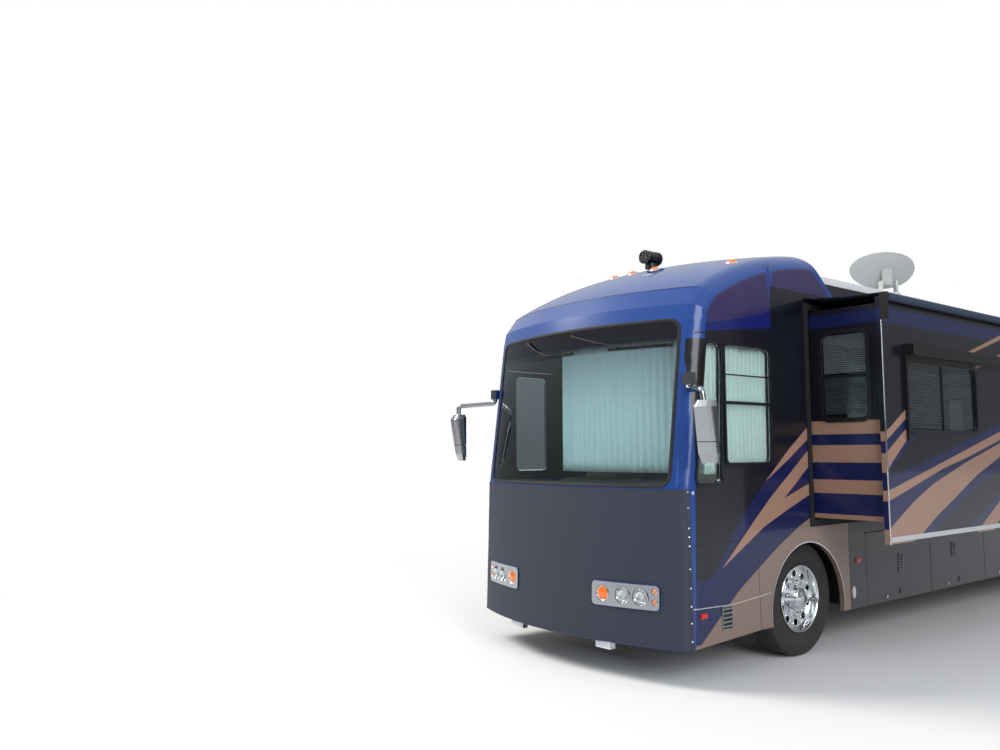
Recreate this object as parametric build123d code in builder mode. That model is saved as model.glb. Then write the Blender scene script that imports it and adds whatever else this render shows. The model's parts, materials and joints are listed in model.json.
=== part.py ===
from build123d import *
import math
import os

# Motorhome: a rear-engine coach on six wheels, parked with its slide rooms out.
# Millimetres, +Z up. The nose looks along -Y and the driver's side, the street side, is +X.
# The origin is on the ground under the middle of the coach. Curb is the other side, -X.

os.makedirs("parts", exist_ok=True)

# Coach body
length = 12190.0
half_width = 1295.0
nose_y = -length / 2
tail_y = length / 2
wall = 45.0
skirt_z = 334.0
crease_z = 1110.0
belt_z = 1050.0
wall_top_z = 3460.0
roof_crown_z = 3620.0
roof_edge_r = 100.0
roof_skin = 50.0
door_gap = 5.0
fit_gap = 0.3
hinge_r = 6.0
hinge_rise = 8.0
hinge_leaf = 3.0
hinge_lap = 16.0

# Wheels and axles
front_overhang = 1960.0
rear_overhang = 3230.0
front_axle_y = nose_y + front_overhang
wheelbase = length - front_overhang - rear_overhang
rear_axle_y = front_axle_y + wheelbase
tyre_r = 510.0
tyre_width = 280.0
tyre_bore_r = 296.0
tyre_centre_x = 1105.0
dual_spacing = 340.0
kingpin_x = 950.0
kingpin_r = 20.0
spindle_r = 50.0
running_gap = 0.05
arch_r = 585.0
arch_z = 430.0
arch_shift = 45.0
liner_r = 625.0
liner_skin = 10.0

# Nose: a profile turned about an upright axis behind it
bow_r = 3100.0
bow_axis_y = nose_y + bow_r
sill_r = bow_r - 35.0
header_r = bow_r - 210.0
lip_r = bow_r - 238.0
brow_r = bow_r - 360.0
nose_bottom_z = 286.0
sill_z = 1550.0
header_z = 2947.0
lip_z = 3080.0
brow_z = 3245.0
dome_r = 3000.0
dome_peak_r = bow_r - 1965.0
dome_peak_z = 3735.0
corner_r = 160.0
cap_low_end_y = front_axle_y - 700.0
cap_end_y = front_axle_y - 430.0
cap_ledge_z = 3330.0
dome_end_low_y = front_axle_y + 655.0
dome_end_slope = 1.25
dome_tail_z = 3694.0
dome_tail_r = 500.0

# Windshield and its surround
glass_half_width = 1150.0
glass_low_z = 1565.0
glass_corner_r = 90.0
glass_skin = 8.0
glass_inset = 6.0

# Floors and frame
floor_z = 1200.0
floor_skin = 50.0
rail_x = 430.0
rail_width = 80.0
rail_z = 930.0
rail_height = 220.0
bay_floor_z = 400.0
bay_floor_skin = 40.0
bulkhead_skin = 30.0
bay_start_y = front_axle_y + 1056.0
bay_width = 1352.0
bay_count = 3
bay_top_z = 1030.0
bay_door_skin = 40.0

# Slide rooms
slide_depth_out = 2020.0
slide_fascia_skin = 40.0
slide_fascia_lip = 50.0
slide_fascia_low_z = 1048.0
slide_floor_z = 1235.0
slide_top_z = 3150.0
slide_skin = 40.0
slide_inner_x = 1190.0
slide_seal_skin = 12.0
slide_seal_width = 60.0
slide_gap = 20.0
topper_z = 3195.0
topper_roller_r = 35.0
topper_roller_x = 2060.0
topper_rail_z = 3280.0
topper_skin = 6.0
topper_rail_depth = 13.0

# Entry door, on the curb side of the nose
entry_y = front_axle_y - 1395.0
entry_width = 650.0
entry_low_z = 420.0
entry_top_z = 2700.0
entry_skin = 40.0

# Rear cap and engine door
rear_cap_y = tail_y - 495.0
rear_corner_r = 150.0
engine_door_half_width = 650.0
engine_door_low_z = 620.0
engine_door_top_z = 1450.0
engine_door_skin = 40.0
receiver_z = 480.0
receiver_size = 76.0
receiver_bore = 51.0
hitch_notch = 48.0

sides = (("street", 1), ("curb", -1))

# Rear windows: side, first y, last y, sill z, head z
wall_windows = (
    ("street", front_axle_y + 5385.0, front_axle_y + 6235.0, 2150.0, 2750.0),
    ("street", tail_y - 2695.0, tail_y - 1395.0, 2050.0, 2750.0),
    ("curb", front_axle_y + 435.0, front_axle_y + 1635.0, 1950.0, 2750.0),
    ("curb", front_axle_y + 2185.0, front_axle_y + 3585.0, 2050.0, 2750.0),
    ("curb", tail_y - 1345.0, tail_y - 745.0, 2150.0, 2750.0),
)
window_corner_r = 60.0
window_frame_width = 40.0
window_frame_proud = 12.0
pane_skin = 6.0

# Slide rooms: side, first y, last y, and the windows in the face as first y, last y, sill z, head z
slide_rooms = (
    ("street", 1, front_axle_y + 170.0, front_axle_y + 4870.0,
     ((front_axle_y + 577.0, front_axle_y + 1970.0, 2033.0, 2640.0),
      (front_axle_y + 2900.0, front_axle_y + 4200.0, 2033.0, 2640.0))),
    ("curb", -1, tail_y - 4995.0, tail_y - 1695.0, ((tail_y - 4395.0, tail_y - 2795.0, 2033.0, 2640.0),)),
)
end_window = (1420.0, 1853.0, 2145.0, 2910.0)


def box_between(x0, x1, y0, y1, z0, z1, mode=Mode.ADD):
    """A block from its low corner to its high corner, in the builder that is open."""
    with Locations(((x0 + x1) / 2, (y0 + y1) / 2, (z0 + z1) / 2)):
        Box(abs(x1 - x0), abs(y1 - y0), abs(z1 - z0), mode=mode)


def side_plane(sign, x):
    """An upright plane across X whose sketch axes are the coach's Y and Z."""
    return Plane.YZ.offset(sign * x)


def glass_radius(z):
    """Distance of the nose's skin from the bow's axis, between the sill and the header."""
    return sill_r + (header_r - sill_r) * (z - sill_z) / (header_z - sill_z)


def nose_form(inset):
    """The nose as a full solid, its skin moved inwards by inset."""
    with BuildPart() as form:
        with BuildSketch(Plane(origin=(0, bow_axis_y, 0), x_dir=(0, -1, 0), z_dir=(-1, 0, 0))):
            with BuildLine():
                Polyline((0, 0), (bow_r - inset, 0), (bow_r - inset, nose_bottom_z), (sill_r - inset, sill_z),
                         (header_r - inset, header_z), (lip_r - inset, lip_z), (brow_r - inset, brow_z - inset / 2))
                RadiusArc((brow_r - inset, brow_z - inset / 2), (dome_peak_r, dome_peak_z - inset), -dome_r)
                Polyline((dome_peak_r, dome_peak_z - inset), (0, dome_peak_z - inset), (0, 0))
            make_face()
        revolve(axis=Axis((0, bow_axis_y, 0), (0, 0, 1)))
        back_y = dome_end_low_y + 100
        depth = back_y - (nose_y - 100)
        with Locations((0, back_y - depth / 2, 2000)):
            Box(2 * (half_width - inset), depth, 4400, mode=Mode.INTERSECT)
        side_edges = [e for f in form.faces().filter_by(Axis.X) for e in f.edges()]
        fillet([e for e in side_edges if e.center().Y < back_y - 5 and e.center().Z > 5], corner_r - inset)
    return form.part


def profile_prism(points, half, rounded=None):
    """A prism across the coach whose side view is the list of (y, z) points, one of them rounded off."""
    with BuildPart() as prism:
        with BuildSketch(Plane.YZ) as profile:
            with BuildLine():
                Polyline(*points, close=True)
            make_face()
            if rounded:
                fillet(profile.vertices().sort_by_distance((*rounded, 0))[0], dome_tail_r)
        extrude(amount=half, both=True)
    return prism.part


def body_section(inset, bottom):
    """The coach's cross-section from bottom to roof, inside its skin by inset, as points and arcs."""
    side = half_width - inset
    edge_x = side - roof_edge_r
    edge_z = wall_top_z + roof_edge_r - inset
    crown = roof_crown_z - inset
    with BuildSketch(Plane.XZ) as section:
        with BuildLine():
            Line((-side, bottom), (side, bottom))
            Line((side, bottom), (side, wall_top_z))
            ThreePointArc((side, wall_top_z),
                          (edge_x + roof_edge_r * math.cos(math.radians(40)),
                           wall_top_z + (edge_z - wall_top_z) * math.sin(math.radians(40))),
                          (edge_x, edge_z))
            ThreePointArc((edge_x, edge_z), (0, crown), (-edge_x, edge_z))
            ThreePointArc((-edge_x, edge_z),
                          (-edge_x - roof_edge_r * math.cos(math.radians(40)),
                           wall_top_z + (edge_z - wall_top_z) * math.sin(math.radians(40))),
                          (-side, wall_top_z))
            Line((-side, wall_top_z), (-side, bottom))
        make_face()
    return section.sketch


outer_nose = nose_form(0)
inner_nose = nose_form(wall)
dome_top_z = dome_peak_z + 70
dome_end_high_y = dome_end_low_y - (dome_top_z - cap_ledge_z) * dome_end_slope
dome_tail_y = dome_end_low_y - (dome_tail_z - cap_ledge_z) * dome_end_slope
dome_tail_run = 1300.0

# The cap ends low behind the entry door, then at the cab windows, and its dome runs on over the roof.
# It is moulded in five pieces, seamed at the header, before the entry door and at the cab windows' end
cap_seam = 0.3
cap_seam_z = header_z + 60.0
cap_outline = (
    (nose_y - 50, nose_bottom_z), (nose_y + 300, nose_bottom_z), (cap_low_end_y, skirt_z),
    (cap_low_end_y, crease_z), (cap_end_y, crease_z), (cap_end_y, cap_ledge_z),
    (dome_end_low_y, cap_ledge_z), (dome_tail_y, dome_tail_z), (dome_tail_y - dome_tail_run, dome_top_z),
    (nose_y - 50, dome_top_z),
)
hollow_outline = (
    (nose_y - 50, -50), (dome_end_low_y - wall, -50), (dome_end_low_y - wall, cap_ledge_z),
    (dome_tail_y - wall, dome_tail_z - wall / 2), (dome_tail_y - dome_tail_run, dome_top_z - wall / 2),
    (nose_y - 50, dome_top_z - wall / 2),
)

# Cab windows on the driver's side: a quarter pane and a sliding window, as (y, z) outlines
quarter_pane = (
    (front_axle_y - 1535, 1590), (front_axle_y - 1215, 1590),
    (front_axle_y - 1175, 2745), (front_axle_y - 1375, 2745),
)
cab_window = (
    (front_axle_y - 1130, 1753), (front_axle_y - 490, 1753),
    (front_axle_y - 475, 2745), (front_axle_y - 1130, 2745),
)


def outline_sketch(points, corner, grow=0.0):
    """A rounded panel outline on the side plane, grown or shrunk all round."""
    with BuildSketch(Plane.XY) as panel:
        with BuildLine():
            Polyline(*points, close=True)
        make_face()
        if grow:
            offset(amount=grow, kind=Kind.INTERSECTION)
        fillet(panel.vertices(), corner)
    return panel.sketch


with BuildPart() as front_cap:
    add(outer_nose)
    add(profile_prism(cap_outline, half_width + 50, (dome_tail_y, dome_tail_z)), mode=Mode.INTERSECT)
    add(inner_nose & profile_prism(hollow_outline, half_width + 50, (dome_tail_y - wall, dome_tail_z - wall / 2)),
        mode=Mode.SUBTRACT)
    with BuildSketch(Plane.XZ.offset(-nose_y + 50)):
        with Locations((0, (glass_low_z + header_z) / 2)):
            RectangleRounded(2 * glass_half_width, header_z - glass_low_z, glass_corner_r)
    extrude(amount=-900, mode=Mode.SUBTRACT)
    with BuildSketch(side_plane(1, half_width - 2 * wall)):
        add(outline_sketch(quarter_pane, 40))
        add(outline_sketch(cab_window, 40))
    extrude(amount=3 * wall, mode=Mode.SUBTRACT)
    box_between(-half_width - 10, -half_width + 2 * wall, entry_y, entry_y + entry_width,
                entry_low_z, entry_top_z, mode=Mode.SUBTRACT)
    seam_x = half_width + 10
    box_between(-seam_x, seam_x, nose_y - 10, cap_end_y + 10, cap_seam_z, cap_seam_z + cap_seam, mode=Mode.SUBTRACT)
    box_between(-seam_x, seam_x, entry_y - cap_seam, entry_y, nose_bottom_z - 10, cap_seam_z + 0.1, mode=Mode.SUBTRACT)
    box_between(-seam_x, seam_x, cap_end_y - cap_seam, cap_end_y, cap_ledge_z - 10, dome_top_z, mode=Mode.SUBTRACT)
front_cap.part.label = "front_cap"
export_step(front_cap.part, "parts/front_cap.step")

# One curved pane, let into the cap's opening
with BuildPart() as windshield:
    add(nose_form(glass_inset))
    add(nose_form(glass_inset + glass_skin), mode=Mode.SUBTRACT)
    with BuildSketch(Plane.XZ.offset(-nose_y + 50)):
        with Locations((0, (glass_low_z + header_z) / 2)):
            RectangleRounded(2 * (glass_half_width - fit_gap), header_z - glass_low_z - 2 * fit_gap, glass_corner_r)
    extrude(amount=-900, mode=Mode.INTERSECT)
windshield.part.label = "windshield"
export_step(windshield.part, "parts/windshield.step")

# A vinyl cover over the nose below the windshield, open at the headlamps
mask_skin = 5.0
mask_top_z = 1545.0
mask_wrap = 1600.0
lamp_panel_x = 785.0
lamp_panel_z = 680.0
lamp_panel_width = 600.0
lamp_panel_height = 195.0
lamp_panel_depth = 16.0
lamp_panel_corner = 35.0
with BuildPart() as nose_mask:
    add(nose_form(-mask_skin - fit_gap))
    add(nose_form(-fit_gap), mode=Mode.SUBTRACT)
    box_between(-half_width - 50, half_width + 50, nose_y - 50, front_axle_y - mask_wrap, nose_bottom_z + 4, mask_top_z,
                mode=Mode.INTERSECT)
    with BuildSketch(Plane.XZ.offset(-nose_y + 50)):
        with Locations((lamp_panel_x, lamp_panel_z), (-lamp_panel_x, lamp_panel_z)):
            RectangleRounded(lamp_panel_width + 20, lamp_panel_height + 20, lamp_panel_corner + 10)
    extrude(amount=-600, mode=Mode.SUBTRACT)
nose_mask.part.label = "nose_mask"
export_step(nose_mask.part, "parts/nose_mask.step")

# Headlamp panels with their round pockets: x from the middle of the coach, z, radius
lamp_pockets = (
    (588.0, 679.0, 64.0),
    (776.0, 679.0, 70.0),
    (931.0, 679.0, 70.0),
    (1047.0, 731.0, 26.0),
    (1047.0, 646.0, 26.0),
)
with BuildPart() as headlamp_bezels:
    add(nose_form(-lamp_panel_depth))
    add(nose_form(-fit_gap), mode=Mode.SUBTRACT)
    with BuildSketch(Plane.XZ.offset(-nose_y + 50)):
        with Locations((lamp_panel_x, lamp_panel_z), (-lamp_panel_x, lamp_panel_z)):
            RectangleRounded(lamp_panel_width, lamp_panel_height, lamp_panel_corner)
    extrude(amount=-600, mode=Mode.INTERSECT)
    with BuildSketch(Plane.XZ.offset(-nose_y + 50)):
        for pocket_x, pocket_z, pocket_r in lamp_pockets:
            with Locations((pocket_x, pocket_z), (-pocket_x, pocket_z)):
                Circle(pocket_r)
    extrude(amount=-600, mode=Mode.SUBTRACT)
headlamp_bezels.part.label = "headlamp_bezels"
export_step(headlamp_bezels.part, "parts/headlamp_bezels.step")

# Lenses: in the headlamp pockets, under the nose, along the dome and on the tail
dome_markers = ((0.0, 1965.0), (270.0, 1965.0), (-270.0, 1965.0), (1086.0, 2137.0), (-1086.0, 2137.0))
marker_r = 45.0
marker_proud = 28.0
tail_lamp_x = 1140.0
tail_lamp_z = (900.0, 1080.0, 1260.0)
tail_lamp_r = 62.0
fog_lamp_x = 557.0
fog_lamp_size = (172.0, 70.0, 66.0)
side_marker_y = (front_axle_y - 1484.0, front_axle_y + 905.0)
side_marker_z = (540.0, 788.0)
with BuildPart() as lamps:
    add(nose_form(-lamp_panel_depth + 5))
    add(nose_form(-fit_gap), mode=Mode.SUBTRACT)
    with BuildSketch(Plane.XZ.offset(-nose_y + 50)):
        for pocket_x, pocket_z, pocket_r in lamp_pockets:
            with Locations((pocket_x, pocket_z), (-pocket_x, pocket_z)):
                Circle(pocket_r - fit_gap)
    extrude(amount=-600, mode=Mode.INTERSECT)
    for sign in (1, -1):
        fog_y = bow_axis_y - math.sqrt(bow_r ** 2 - fog_lamp_x ** 2) + 60
        with Locations((sign * fog_lamp_x, fog_y, nose_bottom_z - fog_lamp_size[2] / 2 - fit_gap)):
            Box(*fog_lamp_size)
        for marker_y, marker_z in zip(side_marker_y, side_marker_z):
            box_between(sign * (half_width + fit_gap), sign * (half_width + 14), marker_y - 45, marker_y + 45,
                        marker_z - 22, marker_z + 22)
        for lamp_z in tail_lamp_z:
            with Locations(Location((sign * tail_lamp_x, tail_y + fit_gap, lamp_z), (-90, 0, 0))):
                Cylinder(tail_lamp_r, 16, align=(Align.CENTER, Align.CENTER, Align.MIN))
    with BuildPart(mode=Mode.PRIVATE) as markers:
        add(nose_form(-marker_proud))
        with BuildSketch(Plane.XY.offset(cap_ledge_z)):
            for marker_x, ring_r in dome_markers:
                with Locations((marker_x, bow_axis_y - math.sqrt(ring_r ** 2 - marker_x ** 2))):
                    Ellipse(marker_r * 1.4, marker_r)
        extrude(amount=1000, mode=Mode.INTERSECT)
        add(nose_form(-fit_gap), mode=Mode.SUBTRACT)
    add(markers.part)
lamps.part.label = "lamps"
export_step(lamps.part, "parts/lamps.step")

# Side walls above the belt, in panels seamed at the slide opening, and skirts below it, on both sides
wall_low_outline = (
    (cap_end_y, crease_z), (cap_end_y, cap_ledge_z), (dome_end_low_y, cap_ledge_z),
    (dome_end_low_y - (wall_top_z - cap_ledge_z) * dome_end_slope, wall_top_z),
    (rear_cap_y, wall_top_z), (rear_cap_y, belt_z), (cap_low_end_y, belt_z), (cap_low_end_y, crease_z),
)
bays_end_y = bay_start_y + bay_count * bay_width

for side, sign in sides:
    with BuildPart() as side_wall:
        with BuildSketch(side_plane(sign, half_width - wall)):
            with BuildLine():
                Polyline(*wall_low_outline, close=True)
            make_face()
            for room_side, room_sign, first_y, last_y, room_windows in slide_rooms:
                if room_side == side:
                    opening_low = slide_floor_z - slide_gap
                    opening_high = slide_top_z + slide_gap
                    with Locations(((first_y + last_y) / 2, (opening_low + opening_high) / 2)):
                        Rectangle(last_y - first_y + 2 * slide_gap, opening_high - opening_low, mode=Mode.SUBTRACT)
                    with Locations((first_y - slide_gap - fit_gap / 2, (belt_z + wall_top_z) / 2),
                                   (last_y + slide_gap + fit_gap / 2, (belt_z + wall_top_z) / 2)):
                        Rectangle(fit_gap, wall_top_z - belt_z + 20, mode=Mode.SUBTRACT)
            for window_side, y0, y1, z0, z1 in wall_windows:
                if window_side == side:
                    with Locations(((y0 + y1) / 2, (z0 + z1) / 2)):
                        RectangleRounded(y1 - y0, z1 - z0, window_corner_r, mode=Mode.SUBTRACT)
        extrude(amount=sign * wall)
    side_wall.part.label = f"{side}_wall"
    export_step(side_wall.part, f"parts/{side}_wall.step")

    with BuildPart() as side_skirt:
        with BuildSketch(side_plane(sign, half_width - wall)):
            with BuildLine():
                Polyline((cap_low_end_y, skirt_z), (cap_low_end_y, belt_z),
                         (rear_cap_y, belt_z), (rear_cap_y, skirt_z), close=True)
            make_face()
            with Locations((front_axle_y + arch_shift, arch_z), (rear_axle_y, arch_z)):
                Circle(arch_r, mode=Mode.SUBTRACT)
            with Locations(((bay_start_y + bays_end_y) / 2, (skirt_z + bay_top_z) / 2)):
                Rectangle(bays_end_y - bay_start_y, bay_top_z - skirt_z, mode=Mode.SUBTRACT)
        extrude(amount=sign * wall)
    side_skirt.part.label = f"{side}_skirt"
    export_step(side_skirt.part, f"parts/{side}_skirt.step")

# Roof shell between the caps, its front end cut to the dome's sloping back
with BuildPart() as roof:
    with BuildSketch(Plane.XZ.offset(-rear_cap_y)):
        add(body_section(0, skirt_z))
        add(body_section(roof_skin, skirt_z), mode=Mode.SUBTRACT)
        with Locations((0, (wall_top_z + skirt_z) / 2)):
            Rectangle(3 * half_width, wall_top_z - skirt_z, mode=Mode.SUBTRACT)
    extrude(amount=rear_cap_y - dome_end_high_y)
    slope_cut = ((dome_end_low_y, cap_ledge_z), (dome_end_high_y, dome_top_z),
                 (dome_end_high_y - 200, dome_top_z), (dome_end_high_y - 200, cap_ledge_z))
    add(profile_prism(slope_cut, half_width + 50), mode=Mode.SUBTRACT)
roof.part.label = "roof"
export_step(roof.part, "parts/roof.step")

def rear_form(inset, bottom):
    """The tail as a full solid: the body section, rounded in plan and in side view."""
    back = tail_y - inset
    with BuildPart() as form:
        with BuildSketch(Plane.XZ.offset(-back)):
            add(body_section(inset, bottom))
        extrude(amount=back - rear_cap_y)
        with BuildSketch(Plane.XY.offset(bottom)):
            with Locations((0, back - 1000)):
                RectangleRounded(2 * (half_width - inset), 2000, rear_corner_r - inset)
        extrude(amount=roof_crown_z, mode=Mode.INTERSECT)
        with BuildSketch(Plane.YZ.offset(-half_width)):
            with Locations((back - 1000, roof_crown_z - inset - 1000)):
                RectangleRounded(2000, 2000, rear_corner_r + 100 - inset)
            with Locations((back - 1000, 500)):
                Rectangle(2000, 3000)
        extrude(amount=2 * half_width, mode=Mode.INTERSECT)
    return form.part


# Rear cap: hollow, with the engine door's opening
with BuildPart() as rear_cap:
    add(rear_form(0, skirt_z))
    add(rear_form(wall, 0), mode=Mode.SUBTRACT)
    box_between(-engine_door_half_width, engine_door_half_width, tail_y - 2 * wall, tail_y + 10,
                engine_door_low_z, engine_door_top_z, mode=Mode.SUBTRACT)
    box_between(-hitch_notch, hitch_notch, tail_y - 2 * wall, tail_y + 10, skirt_z - 10, receiver_z + hitch_notch,
                mode=Mode.SUBTRACT)
rear_cap.part.label = "rear_cap"
export_step(rear_cap.part, "parts/rear_cap.step")

# Cabin floor in panels, the entry's step well folded from sheet, and the slide rooms' wear pads
well_x = -560.0
well_floor_z = 450.0
well_skin = 20.0
step_z = 820.0
step_run = 300.0
step_skin = 25.0
floor_half = half_width - wall - fit_gap
floor_low_z = floor_z - floor_skin
well_end_y = entry_y + entry_width
with BuildPart() as cabin_floor:
    box_between(well_x, floor_half, entry_y, well_end_y, floor_low_z, floor_z)
    box_between(-floor_half, floor_half, well_end_y + fit_gap, tail_y - rear_corner_r - fit_gap, floor_low_z, floor_z)
    well_top_z = floor_low_z - fit_gap
    box_between(-floor_half, well_x + well_skin, entry_y - well_skin, well_end_y + well_skin,
                well_floor_z - well_skin, well_floor_z)
    box_between(-floor_half, well_x + well_skin, entry_y - well_skin, entry_y, well_floor_z + fit_gap, well_top_z)
    box_between(-floor_half, well_x + well_skin, well_end_y, well_end_y + well_skin, well_floor_z + fit_gap, well_top_z)
    box_between(well_x, well_x + well_skin, entry_y + fit_gap, well_end_y - fit_gap, well_floor_z + fit_gap, well_top_z)
    box_between(well_x - step_run, well_x - fit_gap, entry_y + fit_gap, well_end_y - fit_gap, step_z - step_skin, step_z)
    for room_side, sign, first_y, last_y, room_windows in slide_rooms:
        for share in (0.1, 0.5, 0.9):
            pad_y = first_y + share * (last_y - first_y)
            box_between(sign * (slide_inner_x - 40), sign * floor_half, pad_y - 60, pad_y + 60,
                        floor_z + fit_gap, slide_floor_z - fit_gap)
cabin_floor.part.label = "cabin_floor"
export_step(cabin_floor.part, "parts/cabin_floor.step")

# Baggage floor, its bulkheads and the wheel well liners
bays_low_y = bay_start_y - 250.0
bays_high_y = rear_axle_y - liner_r - 60.0
with BuildPart() as basement:
    box_between(-floor_half, floor_half, bays_low_y, bays_high_y, bay_floor_z - bay_floor_skin, bay_floor_z)
    bulkhead_ys = [bays_low_y] + [bay_start_y + i * bay_width - bulkhead_skin / 2 for i in range(1, bay_count + 1)]
    for bulkhead_y in bulkhead_ys + [bays_high_y - bulkhead_skin]:
        box_between(-floor_half, floor_half, bulkhead_y, bulkhead_y + bulkhead_skin, bay_floor_z + fit_gap,
                    rail_z - fit_gap)
basement.part.label = "basement"
export_step(basement.part, "parts/basement.step")

with BuildPart() as wheel_wells:
    for sign in (1, -1):
        for axle_y in (front_axle_y, rear_axle_y):
            with BuildSketch(side_plane(sign, 560)):
                with Locations((axle_y, tyre_r)):
                    Circle(liner_r + liner_skin)
                    Circle(liner_r, mode=Mode.SUBTRACT)
                with Locations((axle_y, skirt_z - 500)):
                    Rectangle(3 * liner_r, 1000 + 2 * 60, mode=Mode.SUBTRACT)
            extrude(amount=sign * (half_width - wall - fit_gap - 560))
wheel_wells.part.label = "wheel_wells"
export_step(wheel_wells.part, "parts/wheel_wells.step")

# Frame: two raised rails, cross-members, the drop frame with tow eyes and the hitch receiver
rail_low_y = nose_y + 500.0
rail_high_y = tail_y - 150.0
tow_eye_r = 16.0
tow_eye_skin = 25.0
tow_eye_y = nose_y + 330.0
tow_eye_z = 250.0
cross_members_y = (front_axle_y - 900, front_axle_y + 700, front_axle_y + 2400, front_axle_y + 4300, rear_axle_y - 800,
                   rear_axle_y + 700)
rail_top_z = rail_z + rail_height - fit_gap
rail_in_x = rail_x - rail_width / 2
member_x = rail_in_x - fit_gap
with BuildPart() as chassis:
    for sign in (1, -1):
        drop_x0 = sign * rail_in_x
        drop_x1 = sign * (rail_x + rail_width / 2)
        box_between(drop_x0, drop_x1, rail_low_y, rail_high_y, rail_z, rail_top_z)
        box_between(drop_x0, drop_x1, rail_low_y, rail_low_y + 120, 560 + fit_gap, rail_z - fit_gap)
        box_between(drop_x0, drop_x1, nose_y + 260, rail_low_y + 120, 430, 560)
        with BuildSketch(Plane.YZ.offset(sign * rail_x)):
            with Locations((tow_eye_y, (tow_eye_z + 430) / 2)):
                Rectangle(90, 430 - tow_eye_z)
            with Locations((tow_eye_y, tow_eye_z)):
                Circle(45)
        extrude(amount=tow_eye_skin / 2, both=True)
        with Locations(Location((sign * rail_x, tow_eye_y, tow_eye_z), (0, 90, 0))):
            Cylinder(tow_eye_r, 3 * tow_eye_skin, mode=Mode.SUBTRACT)
        box_between(drop_x0, drop_x1, rail_high_y - 100, rail_high_y, receiver_z - 60, rail_z - fit_gap)
    for member_y in cross_members_y:
        box_between(-member_x, member_x, member_y - 40, member_y + 40, rail_z + 50, rail_top_z - 30)
    box_between(-member_x, member_x, rail_low_y + 20, rail_low_y + 100, 440, 550)
    box_between(-member_x, member_x, rail_high_y - 100, rail_high_y, receiver_z - 60, receiver_z + 60)
    box_between(-receiver_size / 2, receiver_size / 2, rail_high_y - 100, tail_y, receiver_z - receiver_size / 2,
                receiver_z + receiver_size / 2)
    box_between(-receiver_bore / 2, receiver_bore / 2, tail_y - 220, tail_y + 10, receiver_z - receiver_bore / 2,
                receiver_z + receiver_bore / 2, mode=Mode.SUBTRACT)
chassis.part.label = "chassis"
export_step(chassis.part, "parts/chassis.step")

# Engine and gearbox as one heavy block, with the shaft to the rear axle
diff_r = 230.0
engine_y = (rear_axle_y + 1150.0, rear_axle_y + 2700.0)
with BuildPart() as engine:
    box_between(-365, 365, engine_y[0], engine_y[1], 450, 1130)
    box_between(-210, 210, engine_y[0] - 450, engine_y[0], 470, 880)
    shaft_end_y = rear_axle_y + diff_r + fit_gap
    with Locations(((0, (engine_y[0] - 450 + shaft_end_y) / 2, tyre_r))):
        Box(110, engine_y[0] - 450 - shaft_end_y, 110)
    for sign in (1, -1):
        for mount_y in (engine_y[0] + 150, engine_y[1] - 350):
            box_between(sign * 360, sign * (rail_x - rail_width / 2 - fit_gap), mount_y, mount_y + 140,
                        rail_z + 40, rail_z + 130)
engine.part.label = "engine"
export_step(engine.part, "parts/engine.step")

# Axles: a forged front beam with kingpin eyes, and a driven rear axle
eye_r = 48.0
eye_low_z = tyre_r - 60.0
eye_high_z = tyre_r + 60.0
with BuildPart() as axles:
    box_between(-kingpin_x, kingpin_x, front_axle_y - 45, front_axle_y + 45, tyre_r - 45, tyre_r + 45)
    for sign in (1, -1):
        with Locations((sign * kingpin_x, front_axle_y, tyre_r)):
            Cylinder(eye_r, eye_high_z - eye_low_z)
            Cylinder(kingpin_r + running_gap, 200, mode=Mode.SUBTRACT)
    with Locations(Location((0, rear_axle_y, tyre_r), (0, 90, 0))):
        Cylinder(85, 1200)
        Cylinder(diff_r, 300)
    with Locations(Location((0, rear_axle_y, tyre_r), (0, 90, 0))):
        Cylinder(spindle_r, 2 * (kingpin_x + 60))
    for sign in (1, -1):
        box_between(sign * (rail_x - 60), sign * (rail_x + 60), rear_axle_y - 310, rear_axle_y + 310,
                    tyre_r - 40, tyre_r + 40)
axles.part.label = "axles"
export_step(axles.part, "parts/axles.step")

# Air springs between the axles and the rails
with BuildPart() as air_springs:
    for sign in (1, -1):
        for spring_y, foot_z in ((front_axle_y, tyre_r + 45), (rear_axle_y - 200, tyre_r + 40),
                                 (rear_axle_y + 200, tyre_r + 40)):
            with BuildSketch(Plane.XY.offset(foot_z + fit_gap)):
                with Locations((sign * rail_x, spring_y)):
                    Circle(110)
            extrude(amount=rail_z - foot_z - 2 * fit_gap)
air_springs.part.label = "air_springs"
export_step(air_springs.part, "parts/air_springs.step")


def wheel_plane(axle_y):
    """Sketch plane through a wheel's axis: local x runs across the coach, local y is the radius."""
    return Plane(origin=(0, axle_y, tyre_r), x_dir=(1, 0, 0), z_dir=(0, -1, 0))


def tyre_form(axle_y, centre_x):
    """One tyre, its crown, shoulders and side walls in one turned profile."""
    half = tyre_width / 2
    with BuildSketch(wheel_plane(axle_y)) as profile:
        with BuildLine():
            Polyline((centre_x - half + 35, tyre_bore_r), (centre_x + half - 35, tyre_bore_r),
                     (centre_x + half - 22, tyre_bore_r + 30))
            ThreePointArc((centre_x + half - 22, tyre_bore_r + 30), (centre_x + half, tyre_r - 100),
                          (centre_x + half - 16, tyre_r - 34))
            Polyline((centre_x + half - 16, tyre_r - 34), (centre_x + half - 30, tyre_r - 8), (centre_x + 70, tyre_r),
                     (centre_x - 70, tyre_r), (centre_x - half + 30, tyre_r - 8), (centre_x - half + 16, tyre_r - 34))
            ThreePointArc((centre_x - half + 16, tyre_r - 34), (centre_x - half, tyre_r - 100),
                          (centre_x - half + 22, tyre_bore_r + 30))
            Line((centre_x - half + 22, tyre_bore_r + 30), (centre_x - half + 35, tyre_bore_r))
        make_face()
    with BuildPart() as tyre:
        revolve(profile.sketch, axis=Axis((0, axle_y, tyre_r), (1, 0, 0)))
    return tyre.part


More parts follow.
